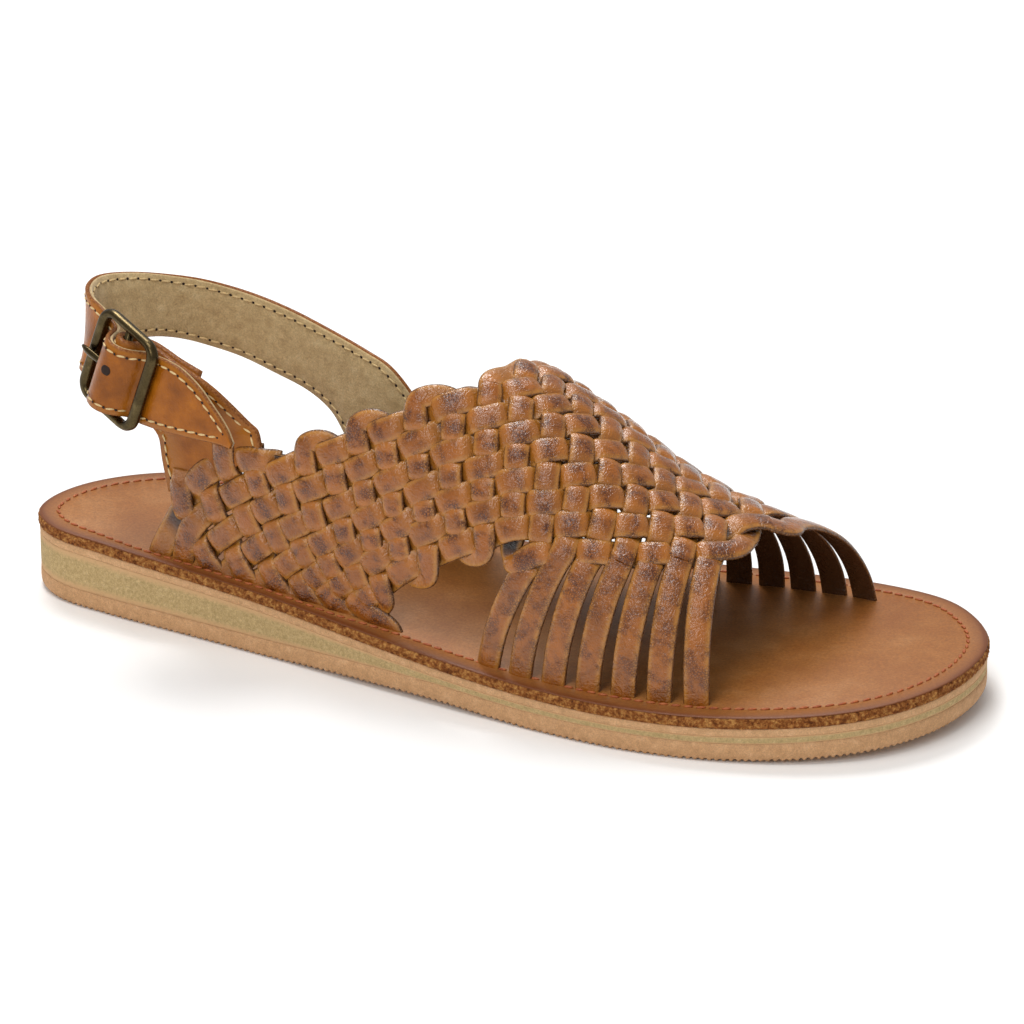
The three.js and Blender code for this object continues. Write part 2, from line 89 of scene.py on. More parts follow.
# ---------------------------------------------------------------- tables of the shoe's form
OUTLINE = table(
    "share outer inner",
    (0.000, -2.5, -1.7),
    (0.035, -16.2, 20.3),
    (0.10, -21.3, 32.3),
    (0.20, -26.5, 35.8),
    (0.30, -31.8, 34.0),
    (0.42, -39.2, 33.9),
    (0.56, -46.8, 40.6),
    (0.70, -51.6, 45.2),
    (0.82, -47.8, 46.4),
    (0.92, -36.3, 39.9),
    (0.975, -20.3, 25.8),
    (1.000, 4.6, 5.4),
)
PROFILE = table(
    "share ground leather_base",
    (0.00, 0.7, 18.4),
    (0.06, 0.1, 18.1),
    (0.10, 0.0, 17.8),
    (0.28, 0.0, 15.4),
    (0.40, 1.1, 12.8),
    (0.50, 1.2, 10.6),
    (0.60, 0.0, 9.2),
    (0.76, 0.0, 9.3),
    (0.86, 0.9, 10.3),
    (0.93, 2.0, 11.4),
    (1.00, 3.2, 12.8),
)
LAST = table(
    "x outer inner ridge",
    (-110, -16, 24, 128),
    (-92, -20, 27, 124.5),
    (-50, -28, 26, 112),
    (-25, -32, 27, 102),
    (-8, -36, 28.5, 92),
    (5, -39.5, 31, 84.5),
    (15, -42, 33, 80.5),
    (25, -43.8, 33.4, 75),
    (36, -44.8, 33.8, 68),
    (47, -45.2, 34.3, 60),
    (58, -45.2, 35, 54),
    (67, -44.6, 36, 50),
    (78, -42.3, 36, 46.5),
    (89, -38.3, 35.3, 43),
    (100, -33.5, 32.5, 38),
    (115, -25, 26, 30),
)
# How far forward each outer-side strip or lace lies (x) at each angle up the side of the last.
OUTER_ANGLES = (0, 0.02, 0.05, 0.10, 0.15, 0.20, 0.30, 0.40, 0.50, 0.60)
OUTER_ROUTES = table(
    "strip " + " ".join(f"x{k}" for k in range(len(OUTER_ANGLES))),
    (-12, -72, -78, -83, -88, -91, -92, -92, -92, -92, -92),
    (-10, -51, -56.5, -62, -69.5, -73, -75, -76, -76, -76, -76),
    (-8, -32, -40.3, -46, -51, -53, -55, -57, -57, -57, -57),
    (-7, -17.5, -32.5, -38.2, -42.8, -45, -46.5, -48, -48, -48, -48),
    (-6, -19, -25.2, -30, -33.5, -36.2, -38.5, -41, -41, -41, -41),
    (-4, -10, -13, -13.8, -16.2, -18.4, -21.2, -25, -26, -26, -26),
    (-2, 6, 5, 4, 3, 1.8, -1, -2.7, -4, -5, -6),
    (0, 20, 20, 19.5, 19, 18.5, 17.7, 16.3, 13.8, 9.9, 6),
    (1, 12.6, 13.2, 14.5, 18, 24.5, 25.6, 25.3, 22.8, 17.4, 8),
    (4, 42.2, 42.6, 43, 43.8, 45.5, 47, 48.2, 46.3, 41.4, 31),
    (7, 71.5, 71.3, 71, 70.3, 70, 69.5, 68.3, 67, 62, 50),
    (8, 80, 80, 80, 79, 78, 77, 75, 73, 68.5, 58),
)
# How far round the last (angle) each inner-side strip lies at each place along the shoe.
INNER_PLACES = (-90, -75, -60, -45, -30, -15, 0, 15, 30, 45, 60, 75, 90)
INNER_ROUTES = table(
    "strip " + " ".join(f"a{k}" for k in range(len(INNER_PLACES))),
    (1, -0.1, -0.1, -0.1, -0.08, -0.05, -0.01, 0.05, 0.125, 0.187, 0.247, 0.325, 0.42, 0.5),
    (2, -0.1, -0.1, -0.08, -0.035, 0.003, 0.059, 0.115, 0.174, 0.233, 0.31, 0.405, 0.495, 0.58),
    (4, -0.1, -0.08, -0.035, 0.01, 0.056, 0.109, 0.179, 0.248, 0.326, 0.454, 0.56, 0.64, 0.7),
    (6, -0.06, -0.017, 0.025, 0.066, 0.107, 0.168, 0.251, 0.338, 0.473, 0.59, 0.68, 0.74, 0.8),
    (8, -0.02, 0.043, 0.084, 0.124, 0.17, 0.237, 0.338, 0.468, 0.63, 0.73, 0.8, 0.85, 0.9),
    (9, 0.0, 0.076, 0.108, 0.15, 0.2, 0.27, 0.38, 0.55, 0.72, 0.8, 0.86, 0.9, 0.95),
)
# The line on which the outer and inner halves of the weave mirror each other: outer strip i and
# inner strip j cross on it where i + j makes this sum.
MIRROR_SUM = 9
MIRROR_LINE = table("x angle", (20, 0.5), (40, 0.494), (52, 0.468), (64, 0.435), (76, 0.41))
INNER_SHIFT = table("way x", (0, 0), (0.1, 3.5), (0.2, 6), (0.4, 11), (0.6, 15), (0.8, 20), (1, 23))
# Rear and front of the weave on the inner side, where it is lower and shorter.
INNER_WING = table(
    "angle rear front",
    (0.5, 6, 73),
    (0.569, 3, 65),
    (0.632, -2, 58),
    (0.704, -6.5, 51),
    (0.776, -13, 40),
    (0.82, -22, 29),
    (0.85, -30, 18),
    (0.878, -39, 8),
    (0.907, -49, -2),
    (0.944, -61, -10),
    (0.965, -66, -14),
    (1.0, -67, -14.6),
)
OUTER_SLOTS = table("strip x", (1, 12.6), (4, 41.5), (7, 71.0))
INNER_STRIPS = table(
    "angle first middle last",
    (0.0, 38.0, 64.8, 91.5),
    (0.1, 38.5, 64.5, 90.0),
    (0.2, 37.0, 62.5, 87.5),
    (0.3, 34.0, 59.0, 84.5),
    (0.4, 29.0, 52.0, 80.0),
)
STRAP_ROUTE = table(
    "top_x top_y top_z low_x low_y low_z",
    (-26, 16.8, 50, -44, 18.0, 30),
    (-31.1, 17.8, 59.4, -48.5, 19.0, 38.5),
    (-38.5, 19.0, 66.8, -52.5, 20.4, 45),
    (-46.2, 21.5, 69.3, -57, 22.8, 49.7),
    (-59.5, 25.5, 72.6, -65, 25.5, 53.7),
    (-72.3, 28, 75.9, -75.5, 27.5, 56.6),
    (-84.3, 28.5, 78.7, -86, 28.5, 59.6),
    (-95.8, 26, 81.5, -95.3, 25.5, 62.8),
    (-104.5, 21, 83.7, -101.5, 20.5, 65.7),
    (-111.6, 14, 85.9, -106, 13.5, 68),
    (-116.5, 5, 87.6, -111.5, 5.5, 68.5),
    (-116.2, -3, 88, -114.3, -2, 68),
    (-112.5, -10, 87.6, -114.6, -9.5, 67.2),
)
STRAP_THROUGH_BUCKLE = table(
    "along out rise width",
    (-16, -3.4, -0.5, 20),
    (-13, -3.1, -0.7, 20),
    (-10.6, -2.9, -0.8, 20),
    (-8.2, -2.4, -0.9, 20),
    (-6.2, -1.0, -1.0, 20),
    (-4.9, 1.3, -1.0, 20),
    (-3.0, 3.8, -1.0, 20),
    (0, 4.9, -1.0, 20),
    (3.0, 3.8, -0.9, 20),
    (4.9, 1.3, -0.8, 20),
    (6.2, -1.0, -0.6, 20),
    (8.2, -2.4, -0.3, 20),
    (10.6, -2.9, 0.0, 20.5),
    (14, -3.1, 0.9, 20.3),
    (18.5, -3.8, 1.7, 19.1),
    (24.5, -5.2, 2.0, 15.6),
    (30, -6.8, 1.5, 10.8),
    (36, -8.5, 0.7, 5),
    (38.6, -9.3, -0.5, 2),
)
TAB_FOLD = table(
    "along out",
    (14, -5.9),
    (10, -5.4),
    (7, -5.0),
    (4.2, -3.8),
    (2.7, -1.7),
    (2.1, 0.9),
    (0, 2.3),
    (-1.9, 1.3),
    (-2.3, -0.5),
    (-0.8, -2.6),
    (1.0, -4.6),
    (3.4, -6.4),
    (7, -7.4),
    (12, -8.2),
    (19, -10.3),
)
BUCKLE_CENTRE = Vector((-98, -25, 73.8))
BAR_WAY = Vector((0.318, 0.011, 0.948)).normalized()
STRAP_WAY = Vector((0.847, -0.455, -0.279)).normalized()
OUTWARD = STRAP_WAY.cross(BAR_WAY).normalized()
BUCKLE_HALF_LENGTH = 10.6
BUCKLE_HALF_WIDTH = 12.6
BUCKLE_CORNER = 3.8


# ---------------------------------------------------------------- reading the form
def read_table(rows, key, at, column):
    """A column of a table at a place along it, with a smooth cubic between the rows."""
    last = len(rows) - 1
    place = min(max(at, rows[0][key]), rows[last][key])
    i = 0
    while i < last - 1 and rows[i + 1][key] < place:
        i += 1

    def slope(k):
        a, b = rows[max(k - 1, 0)], rows[min(k + 1, last)]
        return (b[column] - a[column]) / (b[key] - a[key])

    step = rows[i + 1][key] - rows[i][key]
    u = (place - rows[i][key]) / step
    ease = u * u * (3 - 2 * u)
    start = u * (1 - u) * (1 - u) * step * slope(i)
    end = u * u * (u - 1) * step * slope(i + 1)
    return rows[i][column] * (1 - ease) + rows[i + 1][column] * ease + start + end


def mix(a, b, share):
    return a * (1 - share) + b * share


def share_of(x):
    return x / SOLE_LENGTH + 0.5


def ground_at(x):
    return max(0, read_table(PROFILE, "share", share_of(x), "ground"))


def leather_base_at(x):
    return read_table(PROFILE, "share", share_of(x), "leather_base")


def footbed_top_at(x):
    return leather_base_at(x) + LEATHER_MIDSOLE_THICKNESS + FOOTBED_THICKNESS


def last_point(x, angle):
    """Outer face of the upper: angle 0 at the outer foot, 0.5 on the ridge, 1 at the inner foot."""
    outer = read_table(LAST, "x", x, "outer")
    inner = read_table(LAST, "x", x, "inner")
    ridge = read_table(LAST, "x", x, "ridge")
    base = footbed_top_at(x) - SLOT_DEPTH
    turn = math.pi * min(max(angle, 0), 1)
    side_power, rise_power = (0.8, 0.9) if angle < 0.5 else (1.0, 1.1)
    across = math.copysign(abs(math.cos(turn)) ** side_power, math.cos(turn))
    rise = max(math.sin(turn), 0) ** rise_power
    y = (outer + inner) / 2 - (inner - outer) / 2 * across
    return Vector((x, y, base + (ridge - base) * rise))


def last_normal(x, angle):
    safe = min(max(angle, 0.004), 0.996)
    along = last_point(x + 1, safe) - last_point(x - 1, safe)
    across = last_point(x, safe + 0.004) - last_point(x, safe - 0.004)
    return along.cross(across).normalized()


def outer_route(strip, angle):
    rows = [
        {"angle": a, "x": read_table(OUTER_ROUTES, "strip", strip, f"x{k}")}
        for k, a in enumerate(OUTER_ANGLES)
    ]
    return read_table(rows, "angle", angle, "x")


def inner_route(strip, x):
    rows = [
        {"x": place, "angle": read_table(INNER_ROUTES, "strip", strip, f"a{k}")}
        for k, place in enumerate(INNER_PLACES)
    ]
    return read_table(rows, "x", x, "angle")


def inner_twin(x, angle, column, row):
    """The place on the inner half of the weave that answers to one on the outer half, where outer
    columns and rows are counted. Down the inner wing the rows spread evenly from rear to front."""
    line = read_table(MIRROR_LINE, "x", x, "angle")
    far = 1 - angle * (1 - line) / line
    forefoot = x + read_table(INNER_SHIFT, "way", (far - line) / (1 - line), "x")
    rear = read_table(INNER_WING, "angle", far, "rear")
    front = read_table(INNER_WING, "angle", far, "front")
    wing = mix(rear, front, (8.6 - row) / 7.2)
    share = min(max((far - 0.66) / 0.12, 0), 1) * min(max((1.5 - column) / 1.5, 0), 1)
    return mix(forefoot, wing, share), far


def twin(i, j):
    """The crossing on the inner half that mirrors crossing (i, j) of the outer half."""
    return MIRROR_SUM - j, MIRROR_SUM - i


def crossing(i, j):
    """Where outer strip or lace i crosses inner strip or lace j on the outer half, as (x, angle)."""
    x = outer_route(i, 0.2)
    for _ in range(24):
        angle = inner_route(j, x)
        x = mix(x, outer_route(i, angle), 0.5)
    return x, angle


CROSSINGS = {(i, j): crossing(i, j) for i in range(-12, 9) for j in range(1, 10) if i + j <= MIRROR_SUM}
CROSSINGS.update({
    twin(i, j): inner_twin(*CROSSINGS[i, j], i, j) for i, j in list(CROSSINGS) if i + j < MIRROR_SUM
})


# ---------------------------------------------------------------- making and finishing pieces
def finish_piece(bm, name, material):
    """Moves the piece to the shared frame in metres, gives it its material and its body."""
    bmesh.ops.translate(bm, verts=bm.verts, vec=(0, -WIDTH_MIDDLE, 0))
    bmesh.ops.scale(bm, verts=bm.verts, vec=(0.001, 0.001, 0.001))
    mesh = bpy.data.meshes.new(name)
    for face in bm.faces:
        face.smooth = True
    bm.to_mesh(mesh)
    bm.free()
    piece = bpy.data.objects.new(name, mesh)
    bpy.context.scene.collection.objects.link(piece)
    mesh.materials.append(material)
    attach(piece, "root")
    return piece


def grid_index(verts, count_x, count_y):
    """The row and column of each point of a fresh grid, which runs from -1 to 1 both ways."""
    return [(v, round((v.co.x + 1) / 2 * count_x), round((v.co.y + 1) / 2 * count_y)) for v in verts]


def sweep(bm, rings, facts, closed=False):
    """A tube through rings of points. facts gives each attribute's value at (ring, point)."""
    count, around = len(rings), len(rings[0])
    layers = {name: bm.verts.layers.float.get(name) or bm.verts.layers.float.new(name) for name in facts}
    layers = {name: bm.verts.layers.float[name] for name in layers}
    made = bmesh.ops.create_grid(bm, x_segments=count - 1, y_segments=around, size=1)["verts"]
    for v, i, k in grid_index(made, count - 1, around):
        for name, value in facts.items():
            v[layers[name]] = value(i, k % around)
        v.co = rings[i][k % around]
    faces = list({f for v in made for f in v.link_faces})
    bmesh.ops.remove_doubles(bm, verts=made, dist=0.0005)
    kept = [v for v in made if v.is_valid]
    if not closed:
        rims = [e for e in {e for v in kept for e in v.link_edges} if e.is_boundary]
        faces += bmesh.ops.holes_fill(bm, edges=rims, sides=0)["faces"]
    faces = [f for f in faces if f.is_valid]
    bmesh.ops.recalc_face_normals(bm, faces=faces)


def spline(nodes, steps):
    """Samples of a smooth curve through nodes, which are dictionaries with a point and other values."""
    last = len(nodes) - 1
    found = []
    for k in range(last):
        a, b, c, d = nodes[max(k - 1, 0)], nodes[k], nodes[k + 1], nodes[min(k + 2, last)]
        gap = max((c["point"] - b["point"]).length ** 0.5, 1e-4)
        before = (b["point"] - a["point"]).length ** 0.5 or gap
        after = (d["point"] - c["point"]).length ** 0.5 or gap
        for s in range(steps):
            found.append({
                key: eased(a[key], b[key], c[key], d[key], before, gap, after, s / steps) for key in b
            })
    found.append(dict(nodes[-1]))
    return found


def eased(a, b, c, d, before, gap, after, u):
    """One value between b and c, leaving and arriving in line with its neighbours a and d."""
    leave = ((b - a) / before - (c - a) / (before + gap) + (c - b) / gap) * gap
    arrive = ((c - b) / gap - (d - b) / (gap + after) + (d - c) / after) * gap
    ease = u * u * (3 - 2 * u)
    return b * (1 - ease) + c * ease + leave * (u * (1 - u) * (1 - u)) + arrive * (u * u * (u - 1))


def section_of_strip(width, crown):
    """Rolled edges on a strip that swells towards its middle, and a flat flesh side. Each point has
    its place across and up, and a mark: 0 on the face, towards 1 at the cut edge, 2 beneath."""
    w, t = width / 2, STRIP_THICKNESS / 2
    top = [
        (-w + 0.1, -t + 0.2, 1),
        (-w, -t + 0.5, 1),
        (-w + 0.06, t - 0.42, 1),
        (-w + 0.28, t - 0.12, 0.66),
        (-w + 0.75, t + crown * 0.3, 0.42),
        (-w * 0.55, t + crown * 0.72, 0.12),
        (-w * 0.2, t + crown, 0),
    ]
    right = [(-a, b, e) for a, b, e in reversed(top)]
    under = [(w - 0.4, -t, 2), (0, -t, 2), (-w + 0.4, -t, 2)]
    return top + right + under


def plateau(over):
    """Keeps a strip flat on top and beneath, so that it dives steeply at its neighbours' edges."""
    return 0.5 + 0.5 * math.tanh(2 * DIVE * (over - DIVE_AT))


def lifted(nodes):
    """Samples of a strip's middle, raised over what it crosses and sunk where it passes beneath."""
    samples = spline(nodes, STRIP_STEPS)
    for sample in samples:
        over = min(max(sample["over"], 0), 1)
        over = over if sample["free"] > 0.5 else plateau(over)
        sample["point"] = sample["point"] + sample["normal"] * ((2 * over - 1) * WEAVE_LIFT + sample["raise"])
        sample["over"] = over
    return samples


def strip_frame(samples, k):
    """The way a strip runs at sample k, the way across it, and the way out of its face."""
    before, after = samples[max(k - 1, 0)]["point"], samples[min(k + 1, len(samples) - 1)]["point"]
    run = (after - before).normalized()
    side = samples[k]["normal"].cross(run).normalized()
    return run, side, run.cross(side).normalized()


def strip_lines(nodes, offset):
    """Lines of (point, normal) beside a strip's middle, for each stretch where it lies on top."""
    samples = lifted(nodes)
    lines = [[]]
    for k, sample in enumerate(samples):
        _, side, out = strip_frame(samples, k)
        if sample["over"] > 0.55:
            lines[-1].append((sample["point"] + side * offset + out * (STRIP_THICKNESS / 2 + 0.12), out))
        elif lines[-1]:
            lines.append([])
    return [line for line in lines if len(line) > 3]


def lay_strip(bm, nodes, width, tone):
    """A leather strip through nodes: over is 1 on top and 0 beneath, raise lifts it off the weave's
    middle, broad scales its width, and a colour value sets its colour along it: darker burnish where it
    stands proud, and near black where it passes beneath, which is painted shade."""
    samples = lifted(nodes)
    rings = []
    for k, sample in enumerate(samples):
        _, side, out = strip_frame(samples, k)
        section = section_of_strip(width * sample["broad"], 0.3 + 0.4 * sample["over"])
        rings.append([sample["point"] + side * a + out * b for a, b, _ in section])
    marks = section_of_strip(width, 0)
    # The over attribute carries each node's colour value: its low end is painted shade where a strip passes
    # beneath, its high end real burnish.
    facts = {
        "over": lambda i, k: min(max(samples[i]["burnish_and_shade"], 0), 1),
        "edge": lambda i, k: min(marks[k][2], 1),
        "flesh": lambda i, k: 1.0 if marks[k][2] > 1.5 else 0.0,
        "tone": lambda i, k: tone,
    }
    sweep(bm, rings, facts)


def weave_node(x, angle, over, broad=1.0, rise=0.0, burnish_and_shade=None):
    """A node on the middle surface of the weave: over is 1 for a strip on top and 0 for beneath."""
    normal = last_normal(x, angle)
    point = last_point(x, angle) - normal * WALL_MIDDLE
    burnish_and_shade = float(over) if burnish_and_shade is None else burnish_and_shade
    return {
        "point": point, "normal": normal, "over": float(over), "raise": rise, "burnish_and_shade": burnish_and_shade,
        "broad": broad, "free": 0.0,
    }


def loop_node(point, normal, over, broad):
    """A node of a strip that turns round by itself, clear of the weave's over and under."""
    return {
        "point": point, "normal": normal, "over": over, "raise": 0.0, "burnish_and_shade": max(over, 0.4),
        "broad": broad, "free": 1.0,
    }


def outer_is_over(i, j):
    return (i + j) % 2 == 1


def crossing_node(i, j, outer_strip):
    over = outer_is_over(i, j) == outer_strip
    x, angle = CROSSINGS[i, j]
    slip = random.uniform(-0.25, 0.25)
    broad = random.uniform(0.96, 1.03)
    return weave_node(x + slip, angle, 1 if over else 0, broad)


def foot_nodes(x, angle, inward=True):
    """The end of a strip that goes down through its slot in the footbed."""
    node = weave_node(x, angle, 0.5, 1.0, WALL_MIDDLE - SLOT_EDGE_RISE, 0.8)
    node["free"] = 1.0
    low = dict(node)
    low["point"] = node["point"] - Vector((0, 0, SLOT_SINK))
    return [low, node] if inward else [node, low]


def turn_back(first, below, second):
    """The round of a lace that turns back at the edge of the weave, pinched on its inside."""
    up = (first["point"] - below["point"]).normalized()
    way = second["point"] - first["point"]
    side = (way - up * way.dot(up)).normalized()
    normal = (first["normal"] + second["normal"]).normalized()
    radius = max(way.dot(side) / 2, 3.0)
    middle = (first["point"] + second["point"]) / 2 + up * LOOP_RISE
    found = []
    for degrees in (150, 120, 90, 60, 30):
        turn = math.radians(degrees)
        share = 1 - degrees / 180
        over = mix(first["over"], second["over"], min(max((share - 0.2) * 1.6, 0), 1))
        point = middle + side * (radius * math.cos(turn)) + up * (LOOP_HEIGHT * math.sin(turn))
        found.append(loop_node(point, normal, over, 0.86))
    return found


# ---------------------------------------------------------------- bands, stitches and rims
def lay_band(bm, nodes, inside, outside, inset=0.0, crown=0.0):
    """A flat band between its low and high edges, from one offset to another through its thickness."""
    samples = spline(nodes, BAND_STEPS)
    rings = []
    for k, sample in enumerate(samples):
        out, side, width = band_frame(samples, k)
        wide = max(width - 2 * inset, 0.6)
        soft = min(0.35, wide / 4, (outside - inside) / 2.5)
        outline = [(0, inside + soft, 1), (0, outside - soft, 1), (soft, outside, 0.7)]
        outline += [
            (wide * s, outside + crown * math.sin(math.pi * s), 0) for s in (0.12, 0.3, 0.5, 0.7, 0.88)
        ]
        outline += [(wide - soft, outside, 0.7), (wide, outside - soft, 1), (wide, inside + soft, 1)]
        outline += [(wide - soft, inside, 0.7)] + [(wide * s, inside, 0) for s in (0.7, 0.5, 0.3)]
        outline += [(soft, inside, 0.7)]
        start = sample["low"] + side * inset
        rings.append([start + side * a + out * b for a, b, _ in outline])
    marks = [mark for _, _, mark in outline]
    sweep(bm, rings, {"edge": lambda i, k: marks[k]})


def band_frame(samples, k):
    """Outward and crosswise directions and the width of a band at sample k."""
    before, after = samples[max(k - 1, 0)]["point"], samples[min(k + 1, len(samples) - 1)]["point"]
    across = samples[k]["high"] - samples[k]["low"]
    out = (after - before).cross(across).normalized()
    return out, across.normalized(), across.length


def band_line(nodes, inset, offset, from_high=False):
    """A line of (point, normal) at a distance in from one edge of a band, on one of its faces."""
    samples = spline(nodes, BAND_LINE_STEPS)
    line = []
    for k, sample in enumerate(samples):
        out, side, width = band_frame(samples, k)
        if width > 2.4 * inset:
            start = sample["high"] - side * inset if from_high else sample["low"] + side * inset
            line.append((start + out * offset, out if offset > 0 else -out))
    return line


def evenly(line, pitch):
    """Places along a line every pitch: point, normal and the way the line runs."""
    found, left = [], pitch / 2
    for (a, normal), (b, _) in zip(line, line[1:]):
        gap = (b - a).length
        while left < gap:
            found.append((a.lerp(b, left / gap), normal, (b - a).normalized()))
            left += pitch
        left -= gap
    return found


def gather(bm, small):
    """Moves a small bmesh's shapes into a larger one, which keeps each operator's work short."""
    mesh = bpy.data.meshes.new("batch")
    small.to_mesh(mesh)
    bm.from_mesh(mesh)
    bpy.data.meshes.remove(mesh)
    small.clear()


def sew(threads, hole_shades, line, pitch=STITCH_PITCH, radius=0.3, slant=0.12):
    """Stitches lie on the line end to end, with, if there is a mesh for them, a flat near-black pit
    between each two: painted shade for a pressed needle hole.
    """
    few_threads, few_hole_shades = bmesh.new(), bmesh.new()
    for count, (point, normal, run) in enumerate(evenly(line, pitch)):
        side = normal.cross(run).normalized()
        lean = (run + side * (slant + random.uniform(-0.05, 0.05))).normalized()
        across = normal.cross(lean).normalized()
        half = pitch * random.uniform(0.37, 0.42)
        place = Matrix((lean * half, across * radius, normal * radius * 0.8)).transposed().to_4x4()
        place.translation = point + normal * radius * 0.3
        bmesh.ops.create_uvsphere(few_threads, u_segments=8, v_segments=6, radius=1, matrix=place)
        if hole_shades is not None:
            pit = Matrix((run * 0.42, side * 0.4, normal * 0.12)).transposed().to_4x4()
            pit.translation = point + run * (pitch / 2) + normal * 0.03
            bmesh.ops.create_uvsphere(few_hole_shades, u_segments=8, v_segments=4, radius=1, matrix=pit)
        if count % 24 == 23:
            gather(threads, few_threads)
            if hole_shades is not None:
                gather(hole_shades, few_hole_shades)
    gather(threads, few_threads)
    if hole_shades is not None:
        gather(hole_shades, few_hole_shades)


def outline_point(turn, inner):
    x = -math.cos(math.pi * turn) * SOLE_LENGTH / 2
    return Vector((x, read_table(OUTLINE_BY_TURN, "turn", turn, "inner" if inner else "outer"), 0))


OUTLINE_BY_TURN = [{**row, "turn": math.acos(1 - 2 * row["share"]) / math.pi} for row in OUTLINE]


def even_rim():
    """Places all round the sole's outline, evenly spaced, each with the way in from the edge."""
    loop = [outline_point(k / OUTLINE_STEPS, False) for k in range(OUTLINE_STEPS + 1)]
    loop += [outline_point(1 - k / OUTLINE_STEPS, True) for k in range(OUTLINE_STEPS + 1)]
    lengths = [0.0]
    for a, b in zip(loop, loop[1:] + loop[:1]):
        lengths.append(lengths[-1] + (b - a).length)
    rim, k = [], 0
    for station in range(RIM_STEPS):
        goal = lengths[-1] * station / RIM_STEPS
        while lengths[k + 1] < goal:
            k += 1
        share = (goal - lengths[k]) / (lengths[k + 1] - lengths[k])
        rim.append(loop[k].lerp(loop[(k + 1) % len(loop)], share))
    for _ in range(12):
        rim = [(rim[s - 1] + rim[s] * 2 + rim[(s + 1) % RIM_STEPS]) / 4 for s in range(RIM_STEPS)]
    up = Vector((0, 0, 1))
    return [(rim[s], up.cross(rim[(s + 3) % RIM_STEPS] - rim[s - 3]).normalized()) for s in range(RIM_STEPS)]


RIM = even_rim()
# How far in from the edge the footbed is stitched on the outer side, closer beside the quarter.
STITCH_INSETS = table(
    "share inset",
    (0, 5.2), (0.06, 4.8), (0.13, 3.3), (0.24, 2.9), (0.36, 3.0), (0.44, 5.0), (0.52, 5.3), (1, 5.3),
)
INNER_STITCH_INSET = 5.3


def stitch_inset(point, shift=0.0):
    if point.y >= -8:
        return INNER_STITCH_INSET + shift
    return read_table(STITCH_INSETS, "share", share_of(point.x), "inset") + shift


def sole_layer(name, rows, material, rough=0.0, teeth=0.0, rims=None):
    """A layer of the sole from rows of (inset, height at x), each row a loop round the outline. The
    rim attribute takes its value row by row from rims, where the material changes towards an edge."""
    bm = bmesh.new()
    bm.verts.layers.int.new("station")
    rim = bm.verts.layers.float.new("rim")
    station = bm.verts.layers.int["station"]
    bmesh.ops.create_circle(bm, segments=RIM_STEPS, radius=1)
    for vert in bm.verts:
        vert[station] = round(math.atan2(vert.co.y, vert.co.x) / (2 * math.pi) * RIM_STEPS) % RIM_STEPS
    jitter = [random.uniform(-1, 1) for _ in range(RIM_STEPS)]
    tooth = [0.0 if (s // 2) % 2 else random.uniform(0.5, 1.0) for s in range(RIM_STEPS)]

    def place(verts, inset, height, row):
        for vert in verts:
            s = vert[station]
            point, inward = RIM[s]
            notch = teeth * tooth[s] * (1.0 if row == 0 else 0.5 if row == 1 else 0)
            shake = rough * jitter[(s * (row + 3)) % RIM_STEPS]
            depth = inset(point) if callable(inset) else inset
            spot = point + inward * (depth + notch + shake)
            vert[rim] = rims[row] if rims else 0.0
            vert.co = (spot.x, spot.y, height(spot.x) + notch * 0.9)

    loop = first = list(bm.edges)
    place(list(bm.verts), *rows[0], 0)
    for row, (inset, height) in enumerate(rows[1:], 1):
        geometry = bmesh.ops.extrude_edge_only(bm, edges=loop)["geom"]
        fresh = {v for v in geometry if isinstance(v, bmesh.types.BMVert)}
        edges = [e for e in geometry if isinstance(e, bmesh.types.BMEdge)]
        loop = [e for e in edges if all(v in fresh for v in e.verts)]
        place(fresh, inset, height, row)
    caps = bmesh.ops.edgeloop_fill(bm, edges=first)["faces"]
    caps += bmesh.ops.edgeloop_fill(bm, edges=loop)["faces"]
    # Cuts across the two flat faces let them follow the sole's curve from heel to toe.
    x = CROSS_CUT - SOLE_LENGTH / 2
    while x < SOLE_LENGTH / 2 - 1:
        geometry = caps + list({e for f in caps for e in f.edges})
        geometry += list({v for f in caps for v in f.verts})
        cut = bmesh.ops.bisect_plane(bm, geom=geometry, plane_co=(x, 0, 0), plane_no=(1, 0, 0))["geom"]
        caps = [f for f in cut if isinstance(f, bmesh.types.BMFace)]
        x += CROSS_CUT
    bmesh.ops.recalc_face_normals(bm, faces=bm.faces)
    return finish_piece(bm, name, material)


def rim_line(inset, height):
    """A closed line of (point, normal) at a distance in from the outline."""
    line = [(point + inward * inset(point), Vector((0, 0, 1))) for point, inward in RIM]
    return [(Vector((p.x, p.y, height(p.x))), normal) for p, normal in line + line[:1]]


# ---------------------------------------------------------------- materials
def colour(code):
    """An sRGB hex colour as linear red, green, blue and alpha."""
    parts = [int(code[k:k + 2], 16) / 255 for k in (1, 3, 5)]
    return tuple(c / 12.92 if c <= 0.04045 else ((c + 0.055) / 1.055) ** 2.4 for c in parts) + (1.0,)


def add(tree, kind, inputs=None, stops=None, **settings):
    """Adds a node, sets its properties, and sets or links its inputs."""
    node = tree.nodes.new(kind)
    for key, value in settings.items():
        setattr(node, key, value)
    if stops:
        ramp = node.color_ramp
        while len(ramp.elements) < len(stops):
            ramp.elements.new(0.5)
        for element, (position, code) in zip(ramp.elements, stops):
            element.position = position
            element.color = colour(code)
    for key, value in (inputs or {}).items():
        if isinstance(value, bpy.types.NodeSocket):
            tree.links.new(value, node.inputs[key])
        else:
            node.inputs[key].default_value = value
    return node


def per_mm(size):
    """The texture scale that makes one repeat this many millimetres on Object coordinates."""
    return 1000 / size


